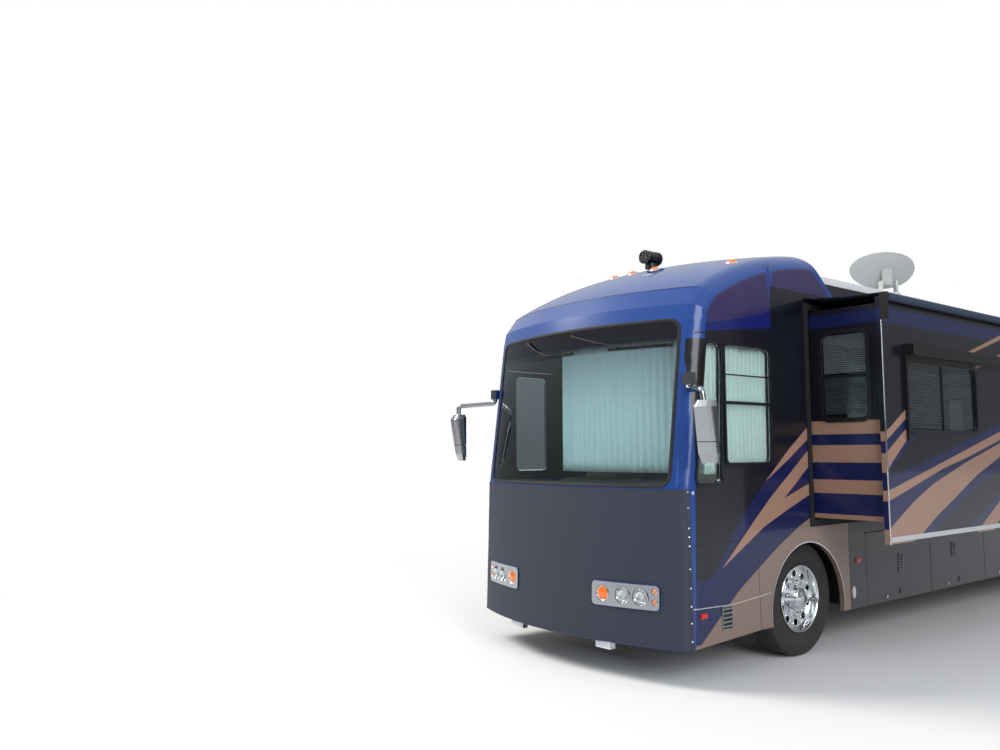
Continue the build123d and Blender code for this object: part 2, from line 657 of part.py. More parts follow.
def rim_form(axle_y, centre_x, disc_x, hub_r):
    """A rim's barrel with its disc at disc_x, and the ten hand holes round it."""
    barrel_r = tyre_bore_r - fit_gap
    half = tyre_width / 2 - 32
    low = centre_x - half
    rim_edge_x = min(max(disc_x, low + 40), low + 2 * half - 40)
    with BuildSketch(wheel_plane(axle_y)) as profile:
        with BuildLine():
            Polyline((low, barrel_r), (low + 2 * half, barrel_r), (low + 2 * half, barrel_r - 14),
                     (low + 2 * half - 40, barrel_r - 26), (low + 40, barrel_r - 26), (low, barrel_r - 14),
                     close=True)
        make_face()
        with BuildLine():
            Polyline((disc_x - 12, hub_r), (disc_x + 12, hub_r), (disc_x + 12, barrel_r - 50),
                     (rim_edge_x + 12, barrel_r - 10), (rim_edge_x - 12, barrel_r - 10), (disc_x - 12, barrel_r - 50),
                     close=True)
        make_face()
    with BuildPart() as rim:
        revolve(profile.sketch, axis=Axis((0, axle_y, tyre_r), (1, 0, 0)))
    return rim.part


hand_hole_count = 10
hand_hole_r = 30.0
hand_hole_ring_r = 218.0


def cut_hand_holes(axle_y, disc_x):
    """Ten round holes through a wheel disc."""
    with Locations(Location((disc_x, axle_y, tyre_r), (0, 90, 0))):
        with PolarLocations(hand_hole_ring_r, hand_hole_count):
            Cylinder(hand_hole_r, 60, mode=Mode.SUBTRACT)


# Steering knuckles: a fork on the kingpin and the wheel's spindle
fork_skin = 38.0
spindle_end_x = tyre_centre_x + 60.0
for side, sign in sides:
    with BuildPart() as knuckle:
        with Locations((sign * kingpin_x, front_axle_y, tyre_r)):
            Cylinder(kingpin_r, 2 * (eye_high_z - tyre_r + fork_skin))
        for fork_z in (eye_high_z + fit_gap, eye_low_z - fit_gap - fork_skin):
            with BuildSketch(Plane.XY.offset(fork_z)):
                with Locations((sign * kingpin_x, front_axle_y)):
                    Circle(44)
                with Locations((sign * (kingpin_x + 45), front_axle_y)):
                    Rectangle(90, 88)
            extrude(amount=fork_skin)
        box_between(sign * (kingpin_x + 56), sign * (kingpin_x + 90), front_axle_y - 44, front_axle_y + 44,
                    eye_low_z - fit_gap - fork_skin, eye_high_z + fit_gap + fork_skin)
        with Locations(Location((sign * (kingpin_x + spindle_end_x) / 2 + sign * 40, front_axle_y, tyre_r), (0, 90, 0))):
            Cylinder(spindle_r, spindle_end_x - kingpin_x - 80)
    knuckle.part.label = f"knuckle_{side}"
    export_step(knuckle.part, f"parts/knuckle_{side}.step")

    front_disc_x = tyre_centre_x + 50
    with BuildPart() as front_rim:
        add(rim_form(front_axle_y, sign * tyre_centre_x, sign * front_disc_x, spindle_r + 30))
        with Locations(Location((sign * (front_disc_x - 5), front_axle_y, tyre_r), (0, 90, 0))):
            Cylinder(112, 110)
        with Locations(Location((sign * (front_disc_x + 64), front_axle_y, tyre_r), (0, 90, 0))):
            Cylinder(92, 36)
        with Locations(Location((sign * (spindle_end_x - 100 + 1), front_axle_y, tyre_r), (0, 90, 0))):
            Cylinder(spindle_r + running_gap, 202, mode=Mode.SUBTRACT)
        cut_hand_holes(front_axle_y, sign * front_disc_x)
    front_rim.part.label = f"rim_front_{side}"
    export_step(front_rim.part, f"parts/rim_front_{side}.step")

    with BuildPart() as front_tyre:
        add(tyre_form(front_axle_y, sign * tyre_centre_x))
    front_tyre.part.label = f"tyre_front_{side}"
    export_step(front_tyre.part, f"parts/tyre_front_{side}.step")

    # The dual rims meet back to back at the drum's face
    inner_x = tyre_centre_x - dual_spacing
    seat_x = (tyre_centre_x + inner_x) / 2
    with BuildPart() as rear_rims:
        add(rim_form(rear_axle_y, sign * tyre_centre_x, sign * (seat_x + 12), spindle_r + 30))
        add(rim_form(rear_axle_y, sign * inner_x, sign * (seat_x - 12), spindle_r + 30))
        with Locations(Location((sign * (seat_x + 90), rear_axle_y, tyre_r), (0, 90, 0))):
            Cylinder(112, 280)
        with Locations(Location((sign * (kingpin_x + 60 - 200 + 1), rear_axle_y, tyre_r), (0, 90, 0))):
            Cylinder(spindle_r + running_gap, 402, mode=Mode.SUBTRACT)
        cut_hand_holes(rear_axle_y, sign * seat_x)
    rear_rims.part.label = f"rims_rear_{side}"
    export_step(rear_rims.part, f"parts/rims_rear_{side}.step")

    with BuildPart() as rear_tyres:
        add(tyre_form(rear_axle_y, sign * tyre_centre_x))
        add(tyre_form(rear_axle_y, sign * inner_x))
    rear_tyres.part.label = f"tyres_rear_{side}"
    export_step(rear_tyres.part, f"parts/tyres_rear_{side}.step")

# Baggage doors, hung from their top edge, each with a latch low in its middle
for side, sign in sides:
    for bay in range(bay_count):
        y0 = bay_start_y + bay * bay_width + door_gap
        y1 = bay_start_y + (bay + 1) * bay_width - door_gap
        with BuildPart() as bay_door:
            box_between(sign * (half_width - bay_door_skin), sign * half_width, y0, y1, skirt_z, bay_top_z - door_gap)
            with Locations(Location((sign * half_width, (y0 + y1) / 2, skirt_z + 70), (0, sign * 90, 0))):
                Cylinder(28, 8, align=(Align.CENTER, Align.CENTER, Align.MIN))
            box_between(sign * (half_width - 1), sign * (half_width + fit_gap + hinge_leaf), y0, y1,
                        bay_top_z - door_gap - hinge_lap, bay_top_z - door_gap - 1)
            box_between(sign * (half_width + fit_gap), sign * (half_width + fit_gap + hinge_leaf), y0, y1,
                        bay_top_z - door_gap - 2, bay_top_z + hinge_rise)
            with Locations(Location((sign * (half_width + fit_gap + hinge_r), (y0 + y1) / 2, bay_top_z + hinge_rise),
                                    (90, 0, 0))):
                Cylinder(hinge_r, y1 - y0)
        bay_door.part.label = f"bay_door_{side}_{bay + 1}"
        export_step(bay_door.part, f"parts/bay_door_{side}_{bay + 1}.step")

with BuildPart() as engine_door:
    box_between(-engine_door_half_width + door_gap, engine_door_half_width - door_gap, tail_y - engine_door_skin,
                tail_y, engine_door_low_z + door_gap, engine_door_top_z - door_gap)
    door_half = engine_door_half_width - door_gap
    box_between(-door_half, door_half, tail_y - 1, tail_y + fit_gap + hinge_leaf,
                engine_door_top_z - door_gap - hinge_lap, engine_door_top_z - door_gap - 1)
    box_between(-door_half, door_half, tail_y + fit_gap, tail_y + fit_gap + hinge_leaf,
                engine_door_top_z - door_gap - 2, engine_door_top_z + hinge_rise)
    with Locations(Location((0, tail_y + fit_gap + hinge_r, engine_door_top_z + hinge_rise), (0, 90, 0))):
        Cylinder(hinge_r, 2 * door_half)
    for slot in range(6):
        slot_z = engine_door_low_z + 200 + slot * 80
        box_between(-engine_door_half_width + 120, engine_door_half_width - 120, tail_y - 2 * engine_door_skin,
                    tail_y + 10, slot_z, slot_z + 30, mode=Mode.SUBTRACT)
engine_door.part.label = "engine_door"
export_step(engine_door.part, "parts/engine_door.step")

# Entry door and its window
entry_window = ((entry_y + 110, 1650), (entry_y + entry_width - 110, 1650),
                (entry_y + entry_width - 110, 2640), (entry_y + 110, 2640))
with BuildPart() as entry_door:
    box_between(-half_width, -half_width + entry_skin, entry_y + door_gap, entry_y + entry_width - door_gap,
                entry_low_z + door_gap, entry_top_z - door_gap)
    with BuildSketch(side_plane(-1, half_width + 5)):
        add(outline_sketch(entry_window, 50))
    extrude(amount=entry_skin + 10, mode=Mode.SUBTRACT)
    handle_y = entry_y + entry_width - 90
    box_between(-half_width - 18, -half_width, handle_y - 30, handle_y + 30, 1180, 1330)
    box_between(-half_width - fit_gap - hinge_leaf, -half_width + 1, entry_y + door_gap + 1,
                entry_y + door_gap + hinge_lap, entry_low_z + door_gap, entry_top_z - door_gap)
    box_between(-half_width - fit_gap - hinge_leaf, -half_width - fit_gap, entry_y - hinge_rise,
                entry_y + door_gap + 2, entry_low_z + door_gap, entry_top_z - door_gap)
    with Locations((-half_width - fit_gap - hinge_r, entry_y - hinge_rise, (entry_low_z + entry_top_z) / 2)):
        Cylinder(hinge_r, entry_top_z - entry_low_z - 2 * door_gap)
entry_door.part.label = "entry_door"
export_step(entry_door.part, "parts/entry_door.step")

with BuildPart() as entry_door_glass:
    with BuildSketch(side_plane(-1, half_width - 10)):
        add(outline_sketch(entry_window, 50 - fit_gap, -fit_gap))
    extrude(amount=pane_skin)
entry_door_glass.part.label = "entry_door_glass"
export_step(entry_door_glass.part, "parts/entry_door_glass.step")

# Fixed panes and the frames round them
with BuildPart() as side_glass:
    for window_side, y0, y1, z0, z1 in wall_windows:
        sign = 1 if window_side == "street" else -1
        with BuildSketch(side_plane(sign, half_width - 20)):
            with Locations(((y0 + y1) / 2, (z0 + z1) / 2)):
                RectangleRounded(y1 - y0 - 2 * fit_gap, z1 - z0 - 2 * fit_gap, window_corner_r)
        extrude(amount=sign * pane_skin)
    with BuildSketch(side_plane(1, half_width - 20)):
        add(outline_sketch(quarter_pane, 40, -fit_gap))
        add(outline_sketch(cab_window, 40, -fit_gap))
    extrude(amount=pane_skin)
side_glass.part.label = "side_glass"
export_step(side_glass.part, "parts/side_glass.step")

with BuildPart() as window_frames:
    for window_side, y0, y1, z0, z1 in wall_windows:
        sign = 1 if window_side == "street" else -1
        with BuildSketch(side_plane(sign, half_width + fit_gap)):
            with Locations(((y0 + y1) / 2, (z0 + z1) / 2)):
                RectangleRounded(y1 - y0 + 2 * window_frame_width, z1 - z0 + 2 * window_frame_width,
                                 window_corner_r + window_frame_width)
                RectangleRounded(y1 - y0, z1 - z0, window_corner_r, mode=Mode.SUBTRACT)
        extrude(amount=sign * window_frame_proud)
    with BuildPart(mode=Mode.PRIVATE) as cab_frames:
        with BuildSketch(side_plane(1, half_width - wall)):
            add(outline_sketch(quarter_pane, 60, 22))
            add(outline_sketch(cab_window, 60, 22))
            add(outline_sketch(quarter_pane, 40), mode=Mode.SUBTRACT)
            add(outline_sketch(cab_window, 40), mode=Mode.SUBTRACT)
        extrude(amount=2 * wall)
        add(nose_form(-window_frame_proud), mode=Mode.INTERSECT)
        add(nose_form(-fit_gap), mode=Mode.SUBTRACT)
    add(cab_frames.part)
window_frames.part.label = "window_frames"
export_step(window_frames.part, "parts/window_frames.step")

# Seals round the slide openings
with BuildPart() as slide_seals:
    for room_side, sign, first_y, last_y, room_windows in slide_rooms:
        seal_low = slide_floor_z - slide_gap
        seal_high = slide_top_z + slide_gap
        with BuildSketch(side_plane(sign, half_width + fit_gap)):
            with Locations(((first_y + last_y) / 2, (seal_low + seal_high) / 2)):
                Rectangle(last_y - first_y + 2 * slide_gap + 2 * slide_seal_width,
                          seal_high - seal_low + 2 * slide_seal_width)
                Rectangle(last_y - first_y + 2 * slide_gap, seal_high - seal_low, mode=Mode.SUBTRACT)
        extrude(amount=sign * slide_seal_skin)
slide_seals.part.label = "slide_seals"
export_step(slide_seals.part, "parts/slide_seals.step")

# Slide rooms: a box of plates open towards the cabin, with a fascia that laps over the opening
for side, sign, first_y, last_y, room_windows in slide_rooms:
    face_x = slide_depth_out - slide_fascia_skin
    with BuildPart() as slide_room:
        plate_x = sign * (face_x - fit_gap)
        end_low_z = slide_floor_z + slide_skin + fit_gap
        end_high_z = slide_top_z - slide_skin - fit_gap
        box_between(sign * slide_inner_x, plate_x, first_y, last_y, slide_floor_z, slide_floor_z + slide_skin)
        box_between(sign * slide_inner_x, plate_x, first_y, last_y, slide_top_z - slide_skin, slide_top_z)
        box_between(sign * slide_inner_x, plate_x, first_y, first_y + slide_skin, end_low_z, end_high_z)
        box_between(sign * slide_inner_x, plate_x, last_y - slide_skin, last_y, end_low_z, end_high_z)
        box_between(sign * face_x, sign * slide_depth_out, first_y - slide_fascia_lip, last_y + slide_fascia_lip,
                    slide_fascia_low_z, slide_top_z + slide_fascia_lip)
        for y0, y1, z0, z1 in room_windows:
            with BuildSketch(side_plane(sign, slide_depth_out + 10)):
                with Locations(((y0 + y1) / 2, (z0 + z1) / 2)):
                    RectangleRounded(y1 - y0, z1 - z0, window_corner_r)
            extrude(amount=-sign * 100, mode=Mode.SUBTRACT)
        if side == "street":
            with BuildSketch(Plane.XZ.offset(-first_y + 10)):
                with Locations(((end_window[0] + end_window[1]) / 2, (end_window[2] + end_window[3]) / 2)):
                    RectangleRounded(end_window[1] - end_window[0], end_window[3] - end_window[2], window_corner_r)
            extrude(amount=-slide_skin - 20, mode=Mode.SUBTRACT)
    slide_room.part.label = f"slide_{side}_room"
    export_step(slide_room.part, f"parts/slide_{side}_room.step")

    with BuildPart() as slide_glass:
        for y0, y1, z0, z1 in room_windows:
            with BuildSketch(side_plane(sign, slide_depth_out - 20)):
                with Locations(((y0 + y1) / 2, (z0 + z1) / 2)):
                    RectangleRounded(y1 - y0 - 2 * fit_gap, z1 - z0 - 2 * fit_gap, window_corner_r)
            extrude(amount=sign * pane_skin)
        if side == "street":
            with BuildSketch(Plane.XZ.offset(-first_y - 14)):
                with Locations(((end_window[0] + end_window[1]) / 2, (end_window[2] + end_window[3]) / 2)):
                    RectangleRounded(end_window[1] - end_window[0] - 2 * fit_gap,
                                     end_window[3] - end_window[2] - 2 * fit_gap, window_corner_r)
            extrude(amount=pane_skin)
    slide_glass.part.label = f"slide_{side}_glass"
    export_step(slide_glass.part, f"parts/slide_{side}_glass.step")

    # Window frames, topper roller with its end brackets, and over the street windows an awning case
    roller_low = first_y - slide_fascia_lip + 10
    roller_high = last_y + slide_fascia_lip - 10
    with BuildPart() as slide_trim:
        for y0, y1, z0, z1 in room_windows:
            with BuildSketch(side_plane(sign, slide_depth_out + fit_gap)):
                with Locations(((y0 + y1) / 2, (z0 + z1) / 2)):
                    RectangleRounded(y1 - y0 + 2 * window_frame_width, z1 - z0 + 2 * window_frame_width,
                                     window_corner_r + window_frame_width)
                    RectangleRounded(y1 - y0, z1 - z0, window_corner_r, mode=Mode.SUBTRACT)
            extrude(amount=sign * window_frame_proud)
        with Locations(Location((sign * topper_roller_x, (roller_low + roller_high) / 2, topper_z), (90, 0, 0))):
            Cylinder(topper_roller_r, roller_high - roller_low)
        for bracket_y in (roller_low - 12, roller_high):
            box_between(sign * (slide_depth_out + fit_gap), sign * (topper_roller_x + topper_roller_r), bracket_y,
                        bracket_y + 12, topper_z - 200, topper_z + topper_roller_r)
        if side == "street":
            case_low = first_y + 330
            case_high = last_y - 350
            box_between(slide_depth_out + fit_gap, slide_depth_out + 100, case_low, case_high, 2700, 2800)
            for arm_y in (case_low, case_high - 30):
                box_between(slide_depth_out + fit_gap, slide_depth_out + 30, arm_y, arm_y + 30, 1940, 2700)
            with BuildSketch(Plane.XZ.offset(-first_y + fit_gap)):
                with Locations(((end_window[0] + end_window[1]) / 2, (end_window[2] + end_window[3]) / 2)):
                    RectangleRounded(end_window[1] - end_window[0] + 80, end_window[3] - end_window[2] + 80,
                                     window_corner_r + 40)
                    RectangleRounded(end_window[1] - end_window[0], end_window[3] - end_window[2],
                                     window_corner_r, mode=Mode.SUBTRACT)
            extrude(amount=window_frame_proud)
    slide_trim.part.label = f"slide_{side}_trim"
    export_step(slide_trim.part, f"parts/slide_{side}_trim.step")

    # Topper fabric from the rail on the wall down to the roller
    fabric_x = half_width + topper_rail_depth + fit_gap
    slope = math.atan2(topper_rail_z - topper_skin - topper_z - topper_roller_r, topper_roller_x - fabric_x)
    fabric_z = topper_z + (topper_roller_r + fit_gap) / math.cos(slope)
    with BuildPart() as topper:
        with BuildSketch(Plane.XZ.offset(-(roller_high - 15))):
            with BuildLine():
                Polyline((sign * fabric_x, topper_rail_z - topper_skin), (sign * topper_roller_x, fabric_z),
                         (sign * topper_roller_x, fabric_z + topper_skin), (sign * fabric_x, topper_rail_z),
                         close=True)
            make_face()
        extrude(amount=roller_high - roller_low - 30)
    topper.part.label = f"topper_{side}"
    export_step(topper.part, f"parts/topper_{side}.step")

# Rails that hold the toppers, and the patio awning on the curb wall
awning_y = (front_axle_y + 200.0, tail_y - 5195.0)
awning_z = 3150.0
with BuildPart() as awnings:
    for room_side, sign, first_y, last_y, room_windows in slide_rooms:
        box_between(sign * (half_width + fit_gap), sign * (half_width + topper_rail_depth), first_y - 40, last_y + 40,
                    topper_rail_z - 12, topper_rail_z + 12)
    box_between(-half_width - 130, -half_width - fit_gap, awning_y[0], awning_y[1], awning_z, awning_z + 120)
    for arm_y in (awning_y[0] + 20, awning_y[1] - 60):
        box_between(-half_width - 45, -half_width - fit_gap, arm_y, arm_y + 40, 1250, awning_z)
awnings.part.label = "awnings"
export_step(awnings.part, "parts/awnings.step")


# Mirrors on both corners: a foot on the pillar, a bent tube arm, and a head whose back slopes under it.
# Each section of the head is its height, width and depth; the glass side stays upright
mirror_root_x = 1262.0
mirror_root_z = 2441.0
mirror_root_half_width = 40.0
mirror_root_half_height = 48.0
mirror_seat_y = bow_axis_y - math.sqrt(glass_radius(mirror_root_z) ** 2 - half_width ** 2) - 42.0
mirror_y = mirror_seat_y - 240.0
mirror_arm_r = 23.0
mirror_arm_z = 2352.0
mirror_head_x = 1605.0
mirror_sections = ((1760.0, 130.0, 40.0), (1830.0, 166.0, 66.0), (2190.0, 170.0, 130.0), (2240.0, 140.0, 96.0))
mirror_toe = {1: 6.0, -1: -15.0}
with BuildPart() as mirrors:
    for sign in (1, -1):
        root_x = sign * mirror_root_x
        box_between(root_x - mirror_root_half_width, root_x + mirror_root_half_width, mirror_seat_y - 36,
                    mirror_seat_y + 36, mirror_root_z - mirror_root_half_height, mirror_root_z + mirror_root_half_height)
        with BuildLine() as arm_path:
            FilletPolyline((root_x, mirror_seat_y - 8, mirror_root_z), (root_x, mirror_seat_y - 12, mirror_arm_z),
                           (sign * (mirror_head_x - 25), mirror_y - 10, mirror_arm_z - 24),
                           (sign * (mirror_head_x - 15), mirror_y, mirror_sections[-1][0] - 30), radius=40)
        with BuildSketch(Plane(origin=arm_path.line @ 0, z_dir=arm_path.line % 0)):
            Circle(mirror_arm_r)
        sweep(path=arm_path.line)
        with BuildPart(mode=Mode.PRIVATE) as head:
            for section_z, section_width, section_depth in mirror_sections:
                seat = Plane(origin=(sign * mirror_head_x, mirror_y, section_z)).rotated((0, 0, mirror_toe[sign]))
                with BuildSketch(seat):
                    with Locations((0, (mirror_sections[2][2] - section_depth) / 2)):
                        RectangleRounded(section_width, section_depth, section_depth * 0.3)
            loft(ruled=True)
        add(head.part)
    add(nose_form(-fit_gap), mode=Mode.SUBTRACT)
mirrors.part.label = "mirrors"
export_step(mirrors.part, "parts/mirrors.step")

# Wipers, parked level along the top of the glass
wiper_z = 2732.0
wiper_depth = 14.0
wiper_height = 26.0
wiper_spans = ((-10.0, 2.6), (10.4, 22.2))
wiper_r = glass_radius(wiper_z - wiper_height / 2) - glass_inset + fit_gap + wiper_depth / 2
with BuildPart() as wipers:
    for start, end in wiper_spans:
        wiper_plane = Plane(origin=(0, bow_axis_y, 0), x_dir=(0, -1, 0), z_dir=(-1, 0, 0)).rotated((0, 0, start))
        with BuildSketch(wiper_plane):
            with Locations((wiper_r, wiper_z)):
                Rectangle(wiper_depth, wiper_height)
        revolve(axis=Axis((0, bow_axis_y, 0), (0, 0, 1)), revolution_arc=end - start)
wipers.part.label = "wipers"
export_step(wipers.part, "parts/wipers.step")

# Dashboard across the cab, steering column and wheel
steer_x = 620.0
steer_y = front_axle_y - 980.0
steer_z = 1860.0
steer_tilt = 28.0
dash_half = half_width - wall - 90.0
dash_y = bow_axis_y - math.sqrt((sill_r - wall) ** 2 - dash_half ** 2) + 88.0
with BuildPart() as dash:
    with BuildSketch(Plane.YZ.offset(-dash_half)):
        with BuildLine():
            Polyline((dash_y, floor_z + fit_gap), (dash_y + 260, floor_z + fit_gap), (dash_y + 430, 1420),
                     (dash_y + 400, 1540), (dash_y + 300, 1600), (dash_y, 1545), close=True)
        make_face()
    extrude(amount=2 * dash_half)
    box_between(-half_width, well_x + 60, nose_y, entry_y + entry_width, 0, 1300, mode=Mode.SUBTRACT)
    box_between(-half_width, well_x + 60, entry_y - 10, entry_y + entry_width, 0, 2000, mode=Mode.SUBTRACT)
    with Locations(Location((steer_x, steer_y, steer_z), (-steer_tilt, 0, 0))):
        Torus(225, 17)
        Cylinder(55, 50)
        for spoke in range(3):
            with Locations(Location((0, 0, 0), (0, 0, 90 + 120 * spoke))):
                with Locations((115, 0, 0)):
                    Box(225, 36, 16)
        Cylinder(35, 450, align=(Align.CENTER, Align.CENTER, Align.MAX))
dash.part.label = "dash"
export_step(dash.part, "parts/dash.step")

# Two cab seats: pedestals, and their cushions as plain solids
seats = ((steer_x, front_axle_y - 620.0), (-steer_x, front_axle_y - 430.0))
with BuildPart() as seat_bases:
    for seat_x, seat_y in seats:
        box_between(seat_x - 130, seat_x + 130, seat_y - 130, seat_y + 130, floor_z + fit_gap, floor_z + 320)
        box_between(seat_x - 230, seat_x + 230, seat_y - 230, seat_y + 230, floor_z + 320, floor_z + 350)
seat_bases.part.label = "seat_bases"
export_step(seat_bases.part, "parts/seat_bases.step")

with BuildPart() as seat_cushions:
    for seat_x, seat_y in seats:
        box_between(seat_x - 260, seat_x + 260, seat_y - 260, seat_y + 240, floor_z + 350 + fit_gap, floor_z + 500)
        with Locations(Location((seat_x, seat_y + 320, floor_z + 860), (-10, 0, 0))):
            Box(500, 140, 780)
        for arm in (-280, 280):
            box_between(seat_x + arm - 35, seat_x + arm + 35, seat_y - 180, seat_y + 320, floor_z + 640, floor_z + 700)
seat_cushions.part.label = "seat_cushions"
export_step(seat_cushions.part, "parts/seat_cushions.step")

# Cabinet across the cab above the windshield, hollow, its bottom the curtain's track
cabinet_low_z = 2850.0
cabinet_high_z = 3150.0
cabinet_back_y = front_axle_y - 1050.0
cabinet_skin = 18.0
with BuildPart() as overhead_cabinet:
    add(nose_form(wall + fit_gap))
    box_between(-half_width, half_width, nose_y, cabinet_back_y, cabinet_low_z, cabinet_high_z, mode=Mode.INTERSECT)
    with BuildPart(mode=Mode.PRIVATE) as cabinet_room:
        add(nose_form(wall + fit_gap + cabinet_skin))
        box_between(-half_width, half_width, nose_y, cabinet_back_y - cabinet_skin, cabinet_low_z + cabinet_skin,
                    cabinet_high_z - cabinet_skin, mode=Mode.INTERSECT)
    add(cabinet_room.part, mode=Mode.SUBTRACT)
overhead_cabinet.part.label = "overhead_cabinet"
export_step(overhead_cabinet.part, "parts/overhead_cabinet.step")

# Curtains: across the windshield on a curved track, and at the driver's window
curtain_r = bow_r - 640.0
curtain_start = -13.2
curtain_end = 26.0
curtain_skin = 30.0
curtain_low_z = 1640.0
curtain_high_z = cabinet_low_z - fit_gap
curtain_x = half_width - wall - fit_gap
with BuildPart() as curtains:
    curtain_plane = Plane(origin=(0, bow_axis_y, 0), x_dir=(0, -1, 0), z_dir=(-1, 0, 0))
    with BuildSketch(curtain_plane.rotated((0, 0, curtain_start))):
        with Locations((curtain_r, (curtain_low_z + curtain_high_z) / 2)):
            Rectangle(curtain_skin, curtain_high_z - curtain_low_z)
    revolve(axis=Axis((0, bow_axis_y, 0), (0, 0, 1)), revolution_arc=curtain_end - curtain_start)
    box_between(curtain_x - curtain_skin, curtain_x, front_axle_y - 1150, front_axle_y - 440, 1730, 2765)
curtains.part.label = "curtains"
export_step(curtains.part, "parts/curtains.step")

# Roof gear: two coolers, a vent, the searchlight and the dish's base
dish_x = 670.0
dish_y = front_axle_y + 3000.0
cooler_ys = (front_axle_y + 1450.0, rear_axle_y - 415.0)
vent_ys = (front_axle_y + 4835.0, tail_y - 1495.0)
search_x = 60.0
search_y = front_axle_y - 610.0
search_r = 68.0


def roof_height(x):
    """Height of the roof's top at a distance from the middle, on its crown arc."""
    edge_x = half_width - roof_edge_r
    rise = roof_crown_z - (wall_top_z + roof_edge_r)
    crown_arc_r = (edge_x ** 2 + rise ** 2) / (2 * rise)
    return roof_crown_z - crown_arc_r + math.sqrt(crown_arc_r ** 2 - x ** 2)


def dome_height(radius):
    """Height of the nose's dome at a distance from the bow's axis."""
    run = brow_r - dome_peak_r
    rise = dome_peak_z - brow_z
    chord = math.hypot(run, rise)
    drop = math.sqrt(dome_r ** 2 - chord ** 2 / 4)
    centre_r = (brow_r + dome_peak_r) / 2 - drop * rise / chord
    centre_z = (brow_z + dome_peak_z) / 2 - drop * run / chord
    return centre_z + math.sqrt(dome_r ** 2 - (radius - centre_r) ** 2) if radius > dome_peak_r else dome_peak_z


dish_base_r = 150.0
dish_base_z = roof_height(dish_x - dish_base_r) + fit_gap + 60
dish_axis_z = dish_base_z + 190.0
with BuildPart() as roof_gear:
    for cooler_y in cooler_ys:
        with BuildSketch(Plane.XY.offset(roof_crown_z - 10)):
            with Locations((0, cooler_y)):
                RectangleRounded(700, 1000, 120)
        extrude(amount=230, taper=12)
    with BuildSketch(Plane.XY.offset(roof_crown_z - 10)):
        with Locations(*((0, vent_y) for vent_y in vent_ys)):
            RectangleRounded(420, 420, 60)
    extrude(amount=100)
    dish_foot_z = roof_height(dish_x + dish_base_r) - 5
    with BuildSketch(Plane.XY.offset(dish_foot_z)):
        with Locations((dish_x, dish_y)):
            Circle(dish_base_r)
    extrude(amount=dish_base_z - dish_foot_z)
    with BuildPart(mode=Mode.PRIVATE) as roof_form:
        with BuildSketch(Plane.XZ.offset(-rear_cap_y)):
            add(body_section(-fit_gap, skirt_z))
        extrude(amount=rear_cap_y - dome_end_high_y)
    add(roof_form.part, mode=Mode.SUBTRACT)
    search_base_z = dome_height(math.hypot(search_x - 60, search_y - bow_axis_y + 60)) + fit_gap
    with BuildSketch(Plane.XY.offset(search_base_z)):
        with Locations((search_x, search_y)):
            Circle(60)
    extrude(amount=45)
    with Locations(Location((search_x, search_y, search_base_z + 40 + search_r), (90, 0, 0))):
        Cylinder(search_r, 200)
roof_gear.part.label = "roof_gear"
export_step(roof_gear.part, "parts/roof_gear.step")

# Satellite dish: a turret that turns on the base, and an oval reflector that tilts on it
dish_point = 51.2
dish_pin_r = 12.0
with BuildPart() as dish_turret:
    with BuildSketch(Plane.XY.offset(dish_base_z + fit_gap)):
        with Locations((dish_x, dish_y)):
            Circle(130)
    extrude(amount=70)
    with Locations(Location((dish_x, dish_y, 0), (0, 0, dish_point))):
        with Locations((90, 0, dish_base_z + 145), (-90, 0, dish_base_z + 145)):
            Box(20, 90, 160)
        with Locations(Location((0, 0, dish_axis_z), (0, 90, 0))):
            Cylinder(dish_pin_r + running_gap, 260, mode=Mode.SUBTRACT)
dish_turret.part.label = "dish_turret"
export_step(dish_turret.part, "parts/dish_turret.step")

dish_elevation = 25.0
bowl_r = 900.0
bowl_skin = 12.0
with BuildPart() as bowl:
    Sphere(bowl_r)
    Sphere(bowl_r - bowl_skin, mode=Mode.SUBTRACT)
    with BuildSketch(Plane.XY.offset(-bowl_r - 10)):
        Ellipse(400, 230)
    extrude(amount=bowl_r, mode=Mode.INTERSECT)
dish_seat = Location((dish_x, dish_y, dish_axis_z), (0, 0, dish_point))
bowl_seat = dish_seat * Location((0, 60, 170), (-90 + dish_elevation, 0, 0)) * Location((0, 0, bowl_r))

with BuildPart() as dish_reflector:
    with Locations(Location((dish_x, dish_y, dish_axis_z), (0, 0, dish_point))):
        with Locations(Location((0, 0, 0), (0, 90, 0))):
            Cylinder(dish_pin_r, 200)
        with Locations((0, 25, 90)):
            Box(90, 82, 200)
    add(bowl.part.moved(bowl_seat))
dish_reflector.part.label = "dish_reflector"
export_step(dish_reflector.part, "parts/dish_reflector.step")
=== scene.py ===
# %% [markdown]
# A motorhome coach, dressed for a portrait. The packed CAD model is the frame: every piece
# below is made in its metres and at its places, and rides on one of its bodies. The nose
# looks along -Y, the driver's side is +X, and the ground is z = 0.

# %% The packed frame
import bmesh
import bpy
import json
import math
from mathutils import Matrix, Vector
from mathutils import noise as field_noise


